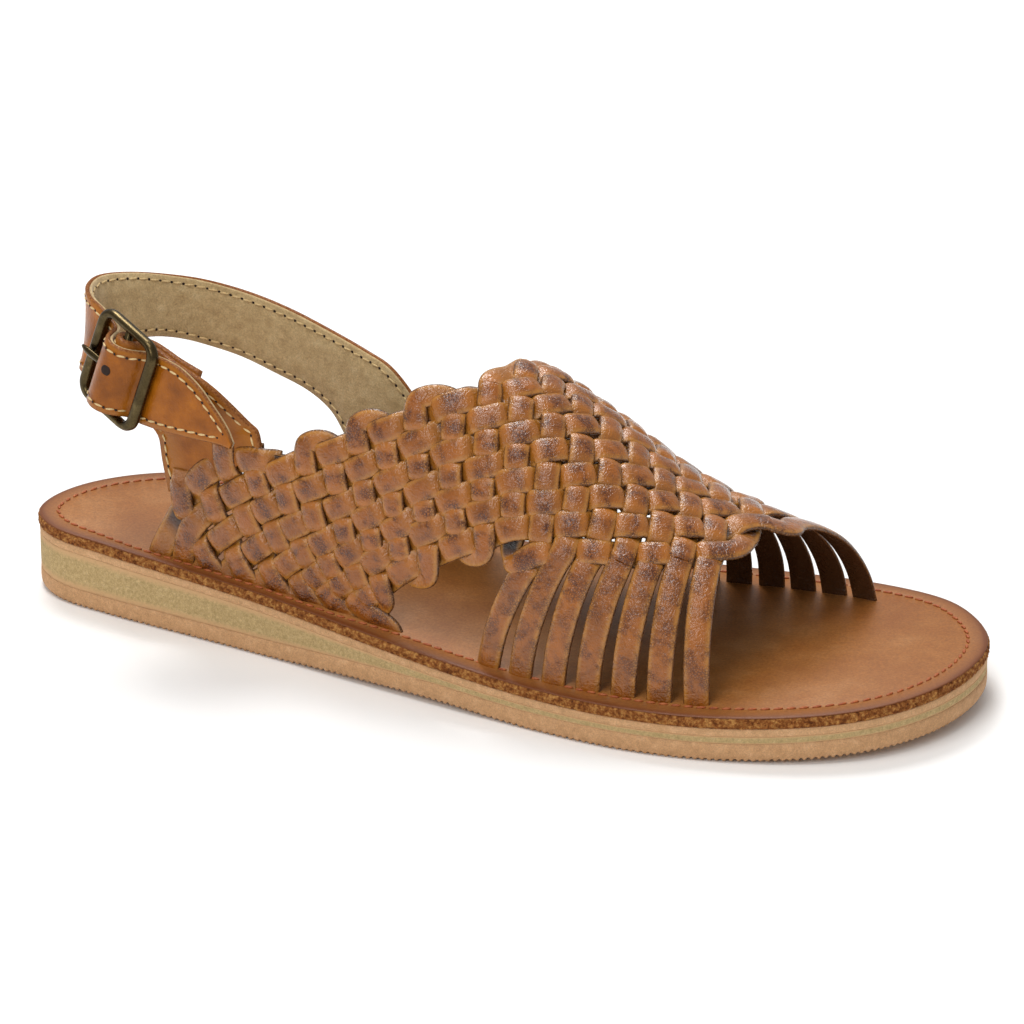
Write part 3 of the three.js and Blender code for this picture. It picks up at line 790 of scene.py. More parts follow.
def new_material(name, **surface):
    """A material with an empty tree but for its surface shader and its Object coordinates."""
    material = bpy.data.materials.new(name)
    material.use_nodes = True
    tree = material.node_tree
    tree.nodes.clear()
    inputs = {key.replace("_", " "): value for key, value in surface.items()}
    shader = add(tree, "ShaderNodeBsdfPrincipled", inputs)
    output = add(tree, "ShaderNodeOutputMaterial")
    tree.links.new(shader.outputs["BSDF"], output.inputs["Surface"])
    place = add(tree, "ShaderNodeTexCoord").outputs["Object"]
    return material, tree, shader, place


def strap_leather(name, body_stops, worn, speck, raw, flesh, woven):
    """Vegetable-tanned cowhide, drum-dyed, waxed and burnished by hand: warm brown with darker worn
    patches, a soft gloss that breaks up on fine creases, pale shoulders and fibrous raw edges whose dark
    colour is partly painted shade; on woven strips, near-black painted shade where they
    pass beneath."""
    material, tree, shader, place = new_material(
        name, IOR=1.5, Specular_IOR_Level=0.14, Coat_Weight=1.0 if woven else 0.25, Coat_Roughness=0.2)
    clouds = add(
        tree, "ShaderNodeTexNoise", {"Vector": place, "Scale": per_mm(8), "Detail": 4.0, "Roughness": 0.6})
    over = add(tree, "ShaderNodeAttribute", attribute_name="over")
    # On woven strips the colour follows over: the near-black low stops are painted shade where a strip passes
    # beneath its neighbours; the darker crest is burnish.
    body = add(
        tree, "ShaderNodeValToRGB", {"Fac": over.outputs["Fac"] if woven else clouds.outputs["Fac"]},
        stops=body_stops,
    )
    # Uneven dye: broad darker and lighter clouds, and each strip cut from another part of the hide.
    tone = add(tree, "ShaderNodeAttribute", attribute_name="tone")
    dye = add(
        tree, "ShaderNodeMapRange",
        {"Value": clouds.outputs["Fac"], "From Min": 0.3, "From Max": 0.7, "To Min": 0.78, "To Max": 1.2},
    )
    hide = add(
        tree, "ShaderNodeMath", {0: tone.outputs["Fac"], 1: 0.14, 2: dye.outputs["Result"]},
        operation="MULTIPLY_ADD",
    )
    dyed = add(
        tree, "ShaderNodeMix", {"Factor": 1.0, 6: body.outputs["Color"], 7: hide.outputs["Value"]},
        data_type="RGBA", blend_type="MULTIPLY",
    )
    # Worn shoulders: the dye rubs thin where a strip rolls over towards its cut edge.
    edge = add(tree, "ShaderNodeAttribute", attribute_name="edge")
    rolled = add(
        tree, "ShaderNodeMapRange",
        {"Value": edge.outputs["Fac"], "From Min": 0.08, "From Max": 0.45, "To Max": 0.7},
    )
    rubbed = add(
        tree, "ShaderNodeMix", {"Factor": rolled.outputs["Result"], 6: dyed.outputs[2], 7: colour(worn)},
        data_type="RGBA",
    )
    # Burnish: a fine dark crackle gathered in patches where a strip stands proudest.
    wander = add(tree, "ShaderNodeTexNoise", {"Vector": place, "Scale": per_mm(1.6), "Detail": 2.0})
    strayed = add(
        tree, "ShaderNodeVectorMath", {0: wander.outputs["Color"], 1: (0.0006, 0.0006, 0.0006), 2: place},
        operation="MULTIPLY_ADD",
    )
    crackle = add(
        tree, "ShaderNodeTexVoronoi", {"Vector": strayed.outputs["Vector"], "Scale": per_mm(0.62)},
        feature="DISTANCE_TO_EDGE",
    )
    patches = add(
        tree, "ShaderNodeTexNoise", {"Vector": place, "Scale": per_mm(4.5), "Detail": 2.0, "Distortion": 0.5})
    patch = add(
        tree, "ShaderNodeMapRange",
        {"Value": patches.outputs["Fac"], "From Min": 0.42, "From Max": 0.60, "To Min": 0.08},
    )
    proud = add(
        tree, "ShaderNodeMapRange", {"Value": over.outputs["Fac"], "From Min": 0.70, "From Max": 0.95})
    gathered = add(
        tree, "ShaderNodeMath", {0: patch.outputs["Result"], 1: proud.outputs["Result"] if woven else 0.12},
        operation="MULTIPLY",
    )
    lines = add(
        tree, "ShaderNodeMapRange",
        {"Value": crackle.outputs["Distance"],
         "From Min": 0.03, "From Max": 0.24, "To Min": 1.0, "To Max": 0.22},
    )
    burnt = add(
        tree, "ShaderNodeMath", {0: gathered.outputs["Value"], 1: lines.outputs["Result"]},
        operation="MULTIPLY",
    )
    burnished = add(
        tree, "ShaderNodeMix", {"Factor": burnt.outputs["Value"], 6: rubbed.outputs[2], 7: colour(speck)},
        data_type="RGBA",
    )
    # The cut edge shows fibres, in a dark colour that reaches onto the shoulder and is partly painted
    # shade in the gaps between cells, and the flesh side beneath is plain and dull.
    side = add(
        tree, "ShaderNodeMapRange", {"Value": edge.outputs["Fac"], "From Min": 0.55, "From Max": 0.85})
    fibres = add(tree, "ShaderNodeTexNoise", {"Vector": place, "Scale": per_mm(0.5), "Detail": 4.0})
    raw_edge_and_shade = add(
        tree, "ShaderNodeValToRGB", {"Fac": fibres.outputs["Fac"]}, stops=[(0.40, flesh), (0.68, raw)],
    )
    edged = add(
        tree, "ShaderNodeMix",
        {"Factor": side.outputs["Result"], 6: burnished.outputs[2], 7: raw_edge_and_shade.outputs["Color"]},
        data_type="RGBA",
    )
    back = add(tree, "ShaderNodeAttribute", attribute_name="flesh")
    whole = add(
        tree, "ShaderNodeMix",
        {"Factor": back.outputs["Fac"], 6: edged.outputs[2], 7: colour(flesh)}, data_type="RGBA",
    )
    tree.links.new(whole.outputs[2], shader.inputs["Base Color"])
    # Waxed faces shine, raw edges and the flesh side don't.
    dull = add(
        tree, "ShaderNodeMath", {0: side.outputs["Result"], 1: back.outputs["Fac"]}, operation="MAXIMUM")
    gloss = add(tree, "ShaderNodeMapRange", {"Value": dull.outputs["Value"], "To Min": 0.24, "To Max": 0.8})
    uneven = add(
        tree, "ShaderNodeMath", {0: clouds.outputs["Fac"], 1: 0.2, 2: gloss.outputs["Result"]},
        operation="MULTIPLY_ADD",
    )
    tree.links.new(uneven.outputs["Value"], shader.inputs["Roughness"])
    # Creases about a millimetre apart, from bending round the weave, and the crackle's own furrows.
    creases = add(
        tree, "ShaderNodeTexNoise",
        {"Vector": place, "Scale": per_mm(1.8), "Detail": 1.0, "Roughness": 0.5, "Distortion": 2.0},
    )
    height = add(
        tree, "ShaderNodeMath", {0: crackle.outputs["Distance"], 1: 0.3, 2: creases.outputs["Fac"]},
        operation="MULTIPLY_ADD",
    )
    bump = add(
        tree, "ShaderNodeBump",
        {"Height": height.outputs["Value"], "Strength": 0.8 if woven else 0.3, "Distance": 0.00035},
    )
    tree.links.new(bump.outputs["Normal"], shader.inputs["Normal"])
    tree.links.new(bump.outputs["Normal"], shader.inputs["Coat Normal"])
    return material


def mottled(name, stops, size, fine, bump_depth, roughness, rim_colour=None, **surface):
    """The shared build of the plainer materials: clouds of colour size mm across under a grain fine mm
    across and bump_depth mm deep, and where rim_colour is given, an edge turned by burnishing or sanding."""
    material, tree, shader, place = new_material(name, Roughness=roughness, **surface)
    clouds = add(
        tree, "ShaderNodeTexNoise",
        {"Vector": place, "Scale": per_mm(size), "Detail": 6.0, "Roughness": 0.68},
    )
    ramp = add(tree, "ShaderNodeValToRGB", {"Fac": clouds.outputs["Fac"]}, stops=stops)
    grain = add(
        tree, "ShaderNodeTexNoise",
        {"Vector": place, "Scale": per_mm(fine), "Detail": 4.0, "Roughness": 0.7},
    )
    dots = add(
        tree, "ShaderNodeMapRange",
        {"Value": grain.outputs["Fac"], "From Min": 0.3, "From Max": 0.7, "To Min": 0.72, "To Max": 1.18},
    )
    shaded = add(
        tree, "ShaderNodeMix", {"Factor": 1.0, 6: ramp.outputs["Color"], 7: dots.outputs["Result"]},
        data_type="RGBA", blend_type="MULTIPLY",
    )
    if rim_colour:
        rim = add(tree, "ShaderNodeAttribute", attribute_name="rim")
        ragged = add(
            tree, "ShaderNodeMath", {0: clouds.outputs["Fac"], 1: 0.9, 2: rim.outputs["Fac"]},
            operation="MULTIPLY_ADD",
        )
        burnt = add(
            tree, "ShaderNodeMapRange",
            {"Value": ragged.outputs["Value"], "From Min": 0.72, "From Max": 1.35},
        )
        shaded = add(
            tree, "ShaderNodeMix",
            {"Factor": burnt.outputs["Result"], 6: shaded.outputs[2], 7: colour(rim_colour)},
            data_type="RGBA",
        )
    tree.links.new(shaded.outputs[2], shader.inputs["Base Color"])
    bump = add(
        tree, "ShaderNodeBump",
        {"Height": grain.outputs["Fac"], "Strength": 0.6, "Distance": bump_depth / 1000},
    )
    tree.links.new(bump.outputs["Normal"], shader.inputs["Normal"])
    return material


# Hand-burnished cowhide strips: darker where they stand proud, tan on their slopes, and near black
# beneath, which is painted shade under the crossing strips; the dark of their cut edges is partly
# painted shade in the gaps between cells.
WOVEN_LEATHER = strap_leather(
    "burnished_cowhide_strips",
    [(0.0, "#1A0B03"), (0.18, "#4E290C"), (0.36, "#A06424"), (0.75, "#9A5A18"), (1.0, "#8E4E0E")],
    "#B87E36", "#4C2004", "#85572B", "#45270F", woven=True)
# The same hide as a wider cut strap, smoother because it isn't pulled round the weave.
STRAP_LEATHER = strap_leather(
    "burnished_cowhide_strap", [(0.3, "#8E4D08"), (0.5, "#9A560C"), (0.7, "#A46012")],
    "#A4661F", "#743A06", "#A06A38", "#74401C", woven=False)
# Split pigskin suede lining: khaki, matt, with a soft short nap.
SUEDE_LINING = mottled(
    "pigskin_suede_lining", [(0.3, "#B09364"), (0.55, "#C6AA7A"), (0.75, "#D2BA8C")], 3.2, 0.5, 0.25, 0.95,
    Sheen_Weight=0.25, Sheen_Roughness=0.5)
# Vegetable-tanned insole leather, rolled smooth: even warm tan with a low sheen and fine pores.
INSOLE_LEATHER = mottled(
    "rolled_insole_leather", [(0.3, "#935722"), (0.5, "#A0652E"), (0.7, "#AE7744")], 22, 0.7, 0.05, 0.46,
    rim_colour="#713B14", Specular_IOR_Level=0.35)
# The cut edge of a thick leather midsole: torn brown fibres, dark between and gold at their tips.
RAW_LEATHER_EDGE = mottled(
    "raw_leather_edge", [(0.34, "#53280C"), (0.48, "#8A5022"), (0.66, "#C08A4C")], 1.3, 0.45, 0.6, 0.9,
    Specular_IOR_Level=0.2)
# Moulded microcellular rubber, buffed at the edge: pinkish tan, dead matt, faintly scratched.
RUBBER_OUTSOLE = mottled(
    "microcellular_rubber", [(0.3, "#B68A5E"), (0.55, "#C7996C"), (0.75, "#D6AA7F")], 2.4, 0.4, 0.12, 0.82)
# Sliced EVA foam, sanded: olive khaki with fine dark and light cells.
FOAM_WEDGE = mottled(
    "sanded_foam", [(0.3, "#A58C5C"), (0.55, "#BA9F6E"), (0.75, "#CDB287")], 1.0, 0.4, 0.15, 0.92,
    rim_colour="#C79F72")
# The same rubber as a thin sanded sheet, a shade warmer beside the foam.
RUBBER_MIDSOLE = mottled(
    "sanded_rubber_midsole", [(0.3, "#BB9063"), (0.55, "#CC9F72"), (0.75, "#DBAF84")], 2.4, 0.4, 0.12, 0.85)
# Waxed polyester thread: smooth, round and pale, twisted too finely to show.
CREAM_THREAD = mottled("waxed_cream_thread", [(0.3, "#CFAE74"), (0.7, "#E3C894")], 1.5, 0.4, 0.03, 0.6)
RUST_THREAD = mottled("waxed_rust_thread", [(0.3, "#8E3E16"), (0.7, "#BE6A34")], 1.5, 0.4, 0.03, 0.6)
# Painted shade for holes pressed through leather: flat near-black discs, dead matt, where the
# shadow inside a hole would be.
HOLE_SHADE = mottled("painted_hole_shade", [(0.3, "#1E0F07"), (0.7, "#2E190C")], 1.5, 0.4, 0.02, 0.9)
# Zinc buckle plated in antique brass, relieved by polishing: dark in the hollows, bright on the rims.
ANTIQUE_BRASS = mottled(
    "antique_brass_plate", [(0.35, "#453A26"), (0.55, "#574A31"), (0.75, "#7A6A48")], 6, 0.6, 0.02, 0.27,
    Metallic=1.0)


# ---------------------------------------------------------------- sole
def wedge_base(x):
    return ground_at(x) + OUTSOLE_THICKNESS


def midsole_base(x):
    return leather_base_at(x) - MIDSOLE_THICKNESS


def leather_top(x):
    return leather_base_at(x) + LEATHER_MIDSOLE_THICKNESS


def above(height, rise):
    return lambda x: height(x) + rise


def up_the_wedge(share):
    return lambda x: mix(wedge_base(x), midsole_base(x), share)


outsole = sole_layer(
    "rubber_outsole",
    [
        (1.0, above(ground_at, 0)), (0.45, above(ground_at, 0.5)), (0.1, above(ground_at, 1.3)),
        (0, above(ground_at, 2.4)), (0.02, above(ground_at, 3.8)), (0.12, above(wedge_base, 0)),
    ],
    RUBBER_OUTSOLE, rough=0.03, teeth=0.55)
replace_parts(outsole, "outsole")
wedge = sole_layer(
    "foam_wedge",
    [(0.22 if share in (0, 1) else 0.12, up_the_wedge(share)) for share in (0, 0.07, 0.3, 0.7, 0.93, 1)],
    FOAM_WEDGE, rough=0.05, rims=(1, 0.9, 0, 0, 0.9, 1))
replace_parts(wedge, "wedge")
midsole = sole_layer(
    "rubber_midsole",
    [(0.2, above(midsole_base, 0)), (0.05, above(midsole_base, 0.25)), (0.05, above(leather_base_at, -0.25)),
     (0.2, above(leather_base_at, 0))],
    RUBBER_MIDSOLE, rough=0.04)
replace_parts(midsole, "midsole")
leather_midsole = sole_layer(
    "raw_leather_midsole",
    [
        (0.3, above(leather_base_at, 0)), (-0.15, above(leather_base_at, 0.3)),
        (-0.3, above(leather_base_at, 0.8)), (-0.15, above(leather_base_at, 1.3)),
        (-0.28, above(leather_base_at, 1.9)), (-0.1, above(leather_top, 0.5)),
        (0.3, above(leather_top, 0.92)),
    ],
    RAW_LEATHER_EDGE, rough=0.22)
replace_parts(leather_midsole, "leather_midsole")
footbed = sole_layer(
    "insole_board_cover",
    [
        (0.4, above(leather_top, 0.85)), (0.1, above(leather_top, 0.92)), (0.15, above(leather_top, 1.02)),
        (0.5, above(leather_top, 1.16)), (1.1, above(footbed_top_at, -0.05)), (1.9, footbed_top_at),
        (lambda p: stitch_inset(p, -0.6), footbed_top_at),
        (lambda p: stitch_inset(p, -0.25), above(footbed_top_at, -0.12)),
        (lambda p: stitch_inset(p, 0.25), above(footbed_top_at, -0.12)),
        (lambda p: stitch_inset(p, 0.6), footbed_top_at),
    ],
    INSOLE_LEATHER, rims=(1, 1, 1, 0.95, 0.8, 0.6, 0.3, 0.15, 0.05, 0))
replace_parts(footbed, "footbed")


# ---------------------------------------------------------------- the woven upper
# Where each strip's outer foot goes into the footbed (x), for strips from the inner side (B) and for
# the lace and quarter strips of the outer side (A), and the last crossing each meets on its way down.
OUTER_FEET_OF_B = {2: -31, 3: -38, 4: -48.6, 5: -59.5, 6: -69, 7: -76, 8: -82.5, 9: -90}
OUTER_FEET_OF_A = {-12: -72, -11: -61.5, -10: -51, -9: -41.5, -8: -32, -7: -17.5}
LOWEST_A_OF_B = {2: -7, 3: -8, 4: -9, 5: -10, 6: -11, 7: -12, 8: -12}
LOWEST_B_OF_A = {-8: 3, -9: 4, -10: 5, -11: 6, -12: 7}


def free_nodes(route, start, end):
    """Nodes where a strip lies by itself on the last, between two angles."""
    count = max(1, round(abs(end - start) / FREE_STEP))
    found = []
    for k in range(count + 1):
        angle = mix(start, end, k / count)
        node = weave_node(route(angle), angle, 0.5, 1.0, WALL_MIDDLE - STRIP_THICKNESS / 2, 0.9)
        node["free"] = 1.0
        found.append(node)
    return found


def inner_slot_route(j):
    """The run of inner-side forefoot strip j up from its slot, as x at each angle."""
    def route(angle):
        slots = ((2, "last"), (5, "middle"), (8, "first"))
        rows = [{"j": k, "x": read_table(INNER_STRIPS, "angle", 1 - angle, name)} for k, name in slots]
        return read_table(rows, "j", j, "x")
    return route


def outer_slot_route(i):
    """The run of outer forefoot strip i from its slot to its first crossing, as x at each angle."""
    slot = read_table(OUTER_SLOTS, "strip", i, "x")
    x, top = CROSSINGS[i, 1]
    return lambda angle: slot + (x - slot) * min(max(angle / top, 0), 1) ** 1.25


def outer_forefoot_strip(i):
    route = outer_slot_route(i)
    nodes = foot_nodes(route(0), 0)
    nodes += free_nodes(route, 0.045, CROSSINGS[i, 1][1] - 0.035)
    nodes += [crossing_node(i, j, True) for j in range(1, 22) if (i, j) in CROSSINGS and i + j <= 23]
    row = MIRROR_SUM - i
    return nodes + foot_nodes(*inner_twin(OUTER_FEET_OF_B[row], 0, -8, row), inward=False)


def inner_forefoot_strip(j):
    route = inner_slot_route(j)
    nodes = foot_nodes(route(1), 1)
    nodes += free_nodes(route, 0.955, CROSSINGS[8, j][1] + 0.035)
    nodes += [crossing_node(i, j, False) for i in range(8, LOWEST_A_OF_B[j] - 1, -1)]
    return nodes + foot_nodes(OUTER_FEET_OF_B[j], 0, inward=False)


def lace_run(column, rows, inner):
    """Nodes of one run of the lacing across the rows, or of its inner-side twin."""
    if inner:
        return [crossing_node(*twin(column, row), False) for row in rows]
    return [crossing_node(column, row, True) for row in rows]


def lacing(inner):
    """The lace of one side, from its foot, back and forth across the strips, to the ball turn."""
    foot = (OUTER_FEET_OF_A[-7], 0)
    nodes = foot_nodes(*(inner_twin(*foot, -7, 1.4) if inner else foot))
    upward, downward = list(range(2, 9)), list(range(8, 1, -1))
    for column in range(-7, 1):
        rows = upward if column % 2 else downward
        if column == 0:
            rows = [9] + rows
        run = lace_run(column, rows, inner)
        if column == 0:
            nodes += ridge_turn(nodes[-1], nodes[-2], run[0], run[1])
        elif column > -7:
            nodes += turn_back(nodes[-1], nodes[-2], run[0])
        nodes += run
    return nodes


def ridge_turn(first, below, second, beyond):
    """At the ridge the lace curls behind the last column and comes back over its top end."""
    up = (first["point"] - below["point"]).normalized()
    down = (beyond["point"] - second["point"]).normalized()
    behind = first["point"].lerp(second["point"], 0.6)
    places = (
        (first["point"] + up * 4.2, first["normal"], 0.62),
        (behind + up * 3.0, (first["normal"] + second["normal"]).normalized(), 0.1),
        (second["point"] - down * 3.6, second["normal"], 0.1 if second["over"] < 0.5 else 0.42),
    )
    return [loop_node(point, normal, over, 0.9) for point, normal, over in places]


def ball_turn(inner):
    """Where the lace leaves the rear rows and runs forward to the tip."""
    places = ((17.4, 0.150, 0.1), (19.4, 0.139, 0.75))
    found = []
    for x, angle, over in places:
        spot = inner_twin(x, angle, 0.5, 1.2) if inner else (x, angle)
        found.append(weave_node(*spot, over, 0.9))
    return found


def whole_lace():
    """The lace from its outer foot to the ball, round the tip beside the free straps, and back down
    the inner side."""
    nodes = lacing(False) + ball_turn(False)
    nodes += [crossing_node(i, 1, False) for i in range(1, 8)]
    nodes.append(weave_node(*CROSSINGS[8, 1], 1.0, 0.95))
    nodes += [crossing_node(8, j, True) for j in range(2, 9)]
    return nodes + (lacing(True) + ball_turn(True))[::-1]


def quarter_strip(i):
    """A strip of the outer quarter from its cut upper end, tucked under or lying flush, to its foot."""
    top = 8 if i == -8 else 9
    x, angle = CROSSINGS[i, top]
    flush = outer_is_over(i, top)
    reach, over, rise = (0.03, 0.5, 0.36) if flush else (0.014, 0.1, 0.0)
    start = weave_node(x - 0.4, angle + reach, over, 1.0, rise)
    start["free"] = 1.0
    nodes = [start] + [crossing_node(i, j, True) for j in range(top, LOWEST_B_OF_A[i] - 1, -1)]
    return nodes + foot_nodes(OUTER_FEET_OF_A[i], 0, inward=False)


def quarter_row():
    """The row through the tab's slits, which starts beneath the lacing."""
    x, angle = CROSSINGS[-9, 9]
    nodes = [weave_node(x + 8, angle + 0.004, 0.1, 1.0, -0.3)]
    nodes += [crossing_node(i, 9, False) for i in range(-9, -13, -1)]
    return nodes + foot_nodes(OUTER_FEET_OF_B[9], 0, inward=False)


def inner_wing_strip(i):
    """The twin of a quarter strip, in the lower and shorter wing of the inner side."""
    lowest = LOWEST_B_OF_A[i]
    nodes = [crossing_node(*twin(i, j), False) for j in range(8, lowest - 1, -1)]
    return nodes + foot_nodes(*inner_twin(OUTER_FEET_OF_A[i], 0, -8, lowest - 0.5), inward=False)


def strip_piece(name, runs, width):
    bm = bmesh.new()
    for nodes in runs:
        lay_strip(bm, nodes, width, random.random())
    return finish_piece(bm, name, WOVEN_LEATHER)


woven = [
    strip_piece("outer_forefoot_strips", [outer_forefoot_strip(i) for i in range(1, 8)], OUTER_STRIP_WIDTH),
    strip_piece("inner_forefoot_strips", [inner_forefoot_strip(j) for j in range(2, 9)], INNER_STRIP_WIDTH),
    strip_piece("instep_lace", [whole_lace()], LACE_WIDTH),
    strip_piece(
        "quarter_strips",
        [quarter_strip(i) for i in range(-12, -7)] + [inner_wing_strip(i) for i in range(-11, -7)],
        LACE_WIDTH,
    ),
    strip_piece("quarter_row", [quarter_row()], INNER_STRIP_WIDTH),
]
for piece in woven:
    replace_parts(piece, "upper")


# ---------------------------------------------------------------- strap, tab and buckle
def in_buckle(along, out, up=0.0):
    return BUCKLE_CENTRE + STRAP_WAY * along + OUTWARD * out + BAR_WAY * up


def edge_node(low, high):
    low, high = Vector(low), Vector(high)
    return {"point": (low + high) / 2, "low": low, "high": high}


def on_last(x, angle, depth):
    return last_point(x, angle) - last_normal(x, angle) * depth


STRAP_NODES = [
    edge_node((r["low_x"], r["low_y"], r["low_z"]), (r["top_x"], r["top_y"], r["top_z"])) for r in STRAP_ROUTE
] + [
    edge_node(
        in_buckle(r["along"], r["out"], r["rise"] - r["width"] / 2),
        in_buckle(r["along"], r["out"], r["rise"] + r["width"] / 2),
    )
    for r in STRAP_THROUGH_BUCKLE
]
TAB_NODES = [
    edge_node(on_last(-86.5, 0.050, 0.9), on_last(-57.5, 0.112, 0.9)),
    edge_node(on_last(-88.5, 0.075, 0.9), on_last(-59, 0.135, 0.9)),
    edge_node((-89, -19.5, 53.5), (-61.5, -23.5, 63.5)),
    edge_node((-89.8, -22.6, 58.5), (-71.5, -27.2, 74.5)),
] + [edge_node(in_buckle(r["along"], r["out"], -10), in_buckle(r["along"], r["out"], 10)) for r in TAB_FOLD]

bm = bmesh.new()
lay_band(bm, STRAP_NODES, LINING_TOP, STRAP_THICKNESS / 2, crown=0.12)
strap = finish_piece(bm, "sling_strap_leather", STRAP_LEATHER)
bm = bmesh.new()
lay_band(bm, STRAP_NODES, -STRAP_THICKNESS / 2, LINING_TOP, inset=0.25)
lining = finish_piece(bm, "sling_strap_lining", SUEDE_LINING)
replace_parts(strap, "sling_strap")
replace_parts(lining, "sling_strap")

bm = bmesh.new()
lay_band(bm, TAB_NODES, -TAB_THICKNESS / 2, TAB_THICKNESS / 2)
tab = finish_piece(bm, "quarter_tab_leather", STRAP_LEATHER)
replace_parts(tab, "quarter_tab")

threads, hole_shades = bmesh.new(), bmesh.new()
for from_high in (False, True):
    for face in (STRAP_THICKNESS / 2, -STRAP_THICKNESS / 2):
        sew(threads, hole_shades, band_line(STRAP_NODES, EDGE_STITCH_INSET, face, from_high))
    # The tab is sewn only up to its fold round the bar.
    sew(threads, hole_shades, band_line(TAB_NODES[:12], EDGE_STITCH_INSET, -TAB_THICKNESS / 2, from_high))
for column, side in ((-9, 1), (-12, -1)):
    for line in strip_lines(quarter_strip(column), side * (LACE_WIDTH / 2 - STRIP_STITCH_INSET)):
        sew(threads, hole_shades, line, pitch=STRIP_STITCH_PITCH, radius=0.26)
# One punched hole shows in the strap where it bends over the buckle's bar, drawn as a flat dark
# disc of painted shade.
punched, facing = min(
    band_line(STRAP_NODES, HOLE_INSET, STRAP_THICKNESS / 2, from_high=True),
    key=lambda place: (place[0] - in_buckle(1.0, 5.4, 1.3)).length,
)
round_hole = facing.to_track_quat("Z", "Y").to_matrix().to_4x4()
round_hole.translation = punched + facing * 0.05
bmesh.ops.create_uvsphere(
    hole_shades, u_segments=20, v_segments=6, radius=HOLE_RADIUS,
    matrix=round_hole @ Matrix.Diagonal((1, 1, 0.1, 1)),
)
rust = bmesh.new()
sew(rust, None, rim_line(stitch_inset, above(footbed_top_at, -0.08)), radius=0.46, slant=0.2)
thread_piece = finish_piece(threads, "strap_stitches", CREAM_THREAD)
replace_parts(thread_piece, "sling_strap")
footbed_stitches = finish_piece(rust, "footbed_stitches", RUST_THREAD)
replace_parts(footbed_stitches, "footbed")
hole_shade_piece = finish_piece(hole_shades, "needle_hole_shade", HOLE_SHADE)
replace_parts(hole_shade_piece, "sling_strap")


def bar_section(run, out, width, thickness):
    """A cast bar's section: flat, with a wide bevel to each side."""
    side = run.cross(out).normalized()
    w, t = width / 2, thickness / 2
    outline = [
        (-w, -t * 0.5), (-w, t * 0.25), (-w * 0.62, t * 0.9), (-w * 0.4, t), (w * 0.4, t),
        (w * 0.62, t * 0.9), (w, t * 0.25), (w, -t * 0.5), (w * 0.7, -t), (-w * 0.7, -t),
    ]
    return [side * a + out * b for a, b in outline]


def buckle_frame():
    """A rounded rectangle of cast bar, broadest along its two long sides, and its centre bar."""
    bm = bmesh.new()
    rings = []
    corners = [(1, 1), (-1, 1), (-1, -1), (1, -1)]
    for i, (side_along, side_up) in enumerate(corners):
        for k in range(9):
            turn = (i + k / 8) * math.pi / 2
            along = side_along * (BUCKLE_HALF_LENGTH - BUCKLE_CORNER) + BUCKLE_CORNER * math.cos(turn)
            up = side_up * (BUCKLE_HALF_WIDTH - BUCKLE_CORNER) + BUCKLE_CORNER * math.sin(turn)
            run = (BAR_WAY * math.cos(turn) - STRAP_WAY * math.sin(turn)).normalized()
            width = mix(2.3, 3.4, abs(math.cos(turn)) ** 2)
            spot = in_buckle(along, 0, up)
            rings.append([spot + p for p in bar_section(run, OUTWARD, width, 2.6)])
    rings.append(rings[0])
    sweep(bm, rings, {}, closed=True)
    bar = [
        [in_buckle(0, 0, up) + p for p in bar_section(BAR_WAY, OUTWARD, 2.2, 2.2)]
        for up in (-BUCKLE_HALF_WIDTH + 0.6, -4, 4, BUCKLE_HALF_WIDTH - 0.6)
    ]
    sweep(bm, bar, {})
    return finish_piece(bm, "cast_buckle_frame", ANTIQUE_BRASS)


def buckle_prong():
    """A cast prong bent round the centre bar, which tapers to its tip beyond the frame."""
    bm = bmesh.new()
    nodes = []
    for degrees in range(290, 109, -30):
        turn = math.radians(degrees)
        nodes.append({"point": in_buckle(2.2 * math.cos(turn), 2.2 * math.sin(turn)), "thick": 1.0})
    nodes += [
        {"point": in_buckle(-4, 2.35), "thick": 1.0},
        {"point": in_buckle(-BUCKLE_HALF_LENGTH, 2.75), "thick": 0.9},
        {"point": in_buckle(-BUCKLE_HALF_LENGTH - 2.2, 2.5), "thick": 0.45},
    ]
    samples = spline(nodes, 6)
    rings = []
    for k, sample in enumerate(samples):
        run = (samples[min(k + 1, len(samples) - 1)]["point"] - samples[max(k - 1, 0)]["point"]).normalized()
        out = run.cross(BAR_WAY).normalized()
        section = [
            BAR_WAY * math.cos(a * math.pi / 5) * 1.05 + out * math.sin(a * math.pi / 5) * 0.85
            for a in range(10)
        ]
        rings.append([sample["point"] + spot * sample["thick"] for spot in section])
    sweep(bm, rings, {})
    return finish_piece(bm, "cast_buckle_prong", ANTIQUE_BRASS)


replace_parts(buckle_frame(), "buckle_frame")
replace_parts(buckle_prong(), "buckle_prong")


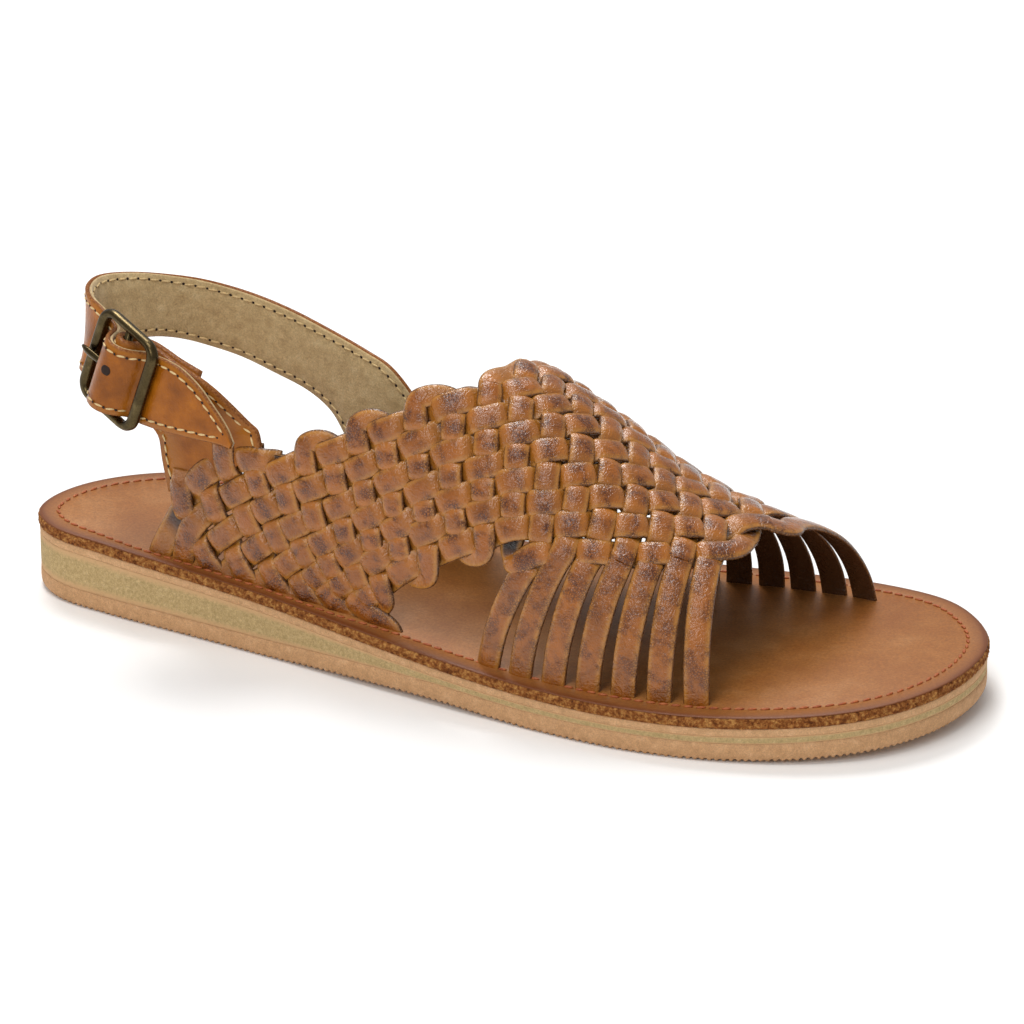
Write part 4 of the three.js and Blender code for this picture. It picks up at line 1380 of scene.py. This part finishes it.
# ---------------------------------------------------------------- studio
def studio_floor():
    material, _, shader, _ = new_material("matt_white_paper", Roughness=0.9)
    shader.inputs["Base Color"].default_value = colour("#FBFBFA")
    bm = bmesh.new()
    bmesh.ops.create_grid(bm, x_segments=1, y_segments=1, size=4)
    mesh = bpy.data.meshes.new("studio_floor")
    bm.to_mesh(mesh)
    bm.free()
    mesh.materials.append(material)
    floor = bpy.data.objects.new("studio_floor", mesh)
    bpy.context.scene.collection.objects.link(floor)


def soft_light(name, place, target, size, power):
    lamp = bpy.data.lights.new(name, "AREA")
    lamp.shape = "SQUARE"
    lamp.size = size
    lamp.energy = power
    light = bpy.data.objects.new(name, lamp)
    light.location = place
    light.rotation_euler = (Vector(place) - Vector(target)).to_track_quat("Z", "Y").to_euler()
    bpy.context.scene.collection.objects.link(light)


studio_floor()
world = bpy.data.worlds.new("studio")
bpy.context.scene.world = world
world.use_nodes = True
world.node_tree.nodes["Background"].inputs["Color"].default_value = (1, 1, 1, 1)
world.node_tree.nodes["Background"].inputs["Strength"].default_value = 0.45
soft_light("rear_softbox", (-0.5, 0.7, 1.6), (0, 0.1, 0.04), 0.6, 12)
soft_light("top_softbox", (-0.15, -0.4, 1.8), (0, 0, 0.04), 0.7, 10)
soft_light("low_softbox", (-0.1, -1.5, 1.2), (0, 0, 0.04), 0.8, 8)
soft_light("backdrop_light", (-0.5, 1.3, 1.8), (-0.4, 1.0, 0), 1.5, 10)

# The camera stands off the outer side, a little towards the toe, and looks down on the shoe.
azimuth, elevation = math.radians(21), math.radians(23.13)
target, distance = Vector((0.03476, -0.07844, 0.07558)), 1.4
back = Vector((
    math.sin(azimuth) * math.cos(elevation), -math.cos(azimuth) * math.cos(elevation), math.sin(elevation)))
lens = bpy.data.cameras.new("camera")
lens.lens, lens.sensor_width = 198.7, 36
lens.clip_end = 20
camera = bpy.data.objects.new("camera", lens)
camera.location = target + back * distance
camera.rotation_euler = back.to_track_quat("Z", "Y").to_euler()
bpy.context.scene.collection.objects.link(camera)
bpy.context.scene.camera = camera
bpy.context.scene.view_settings.view_transform = "Standard"
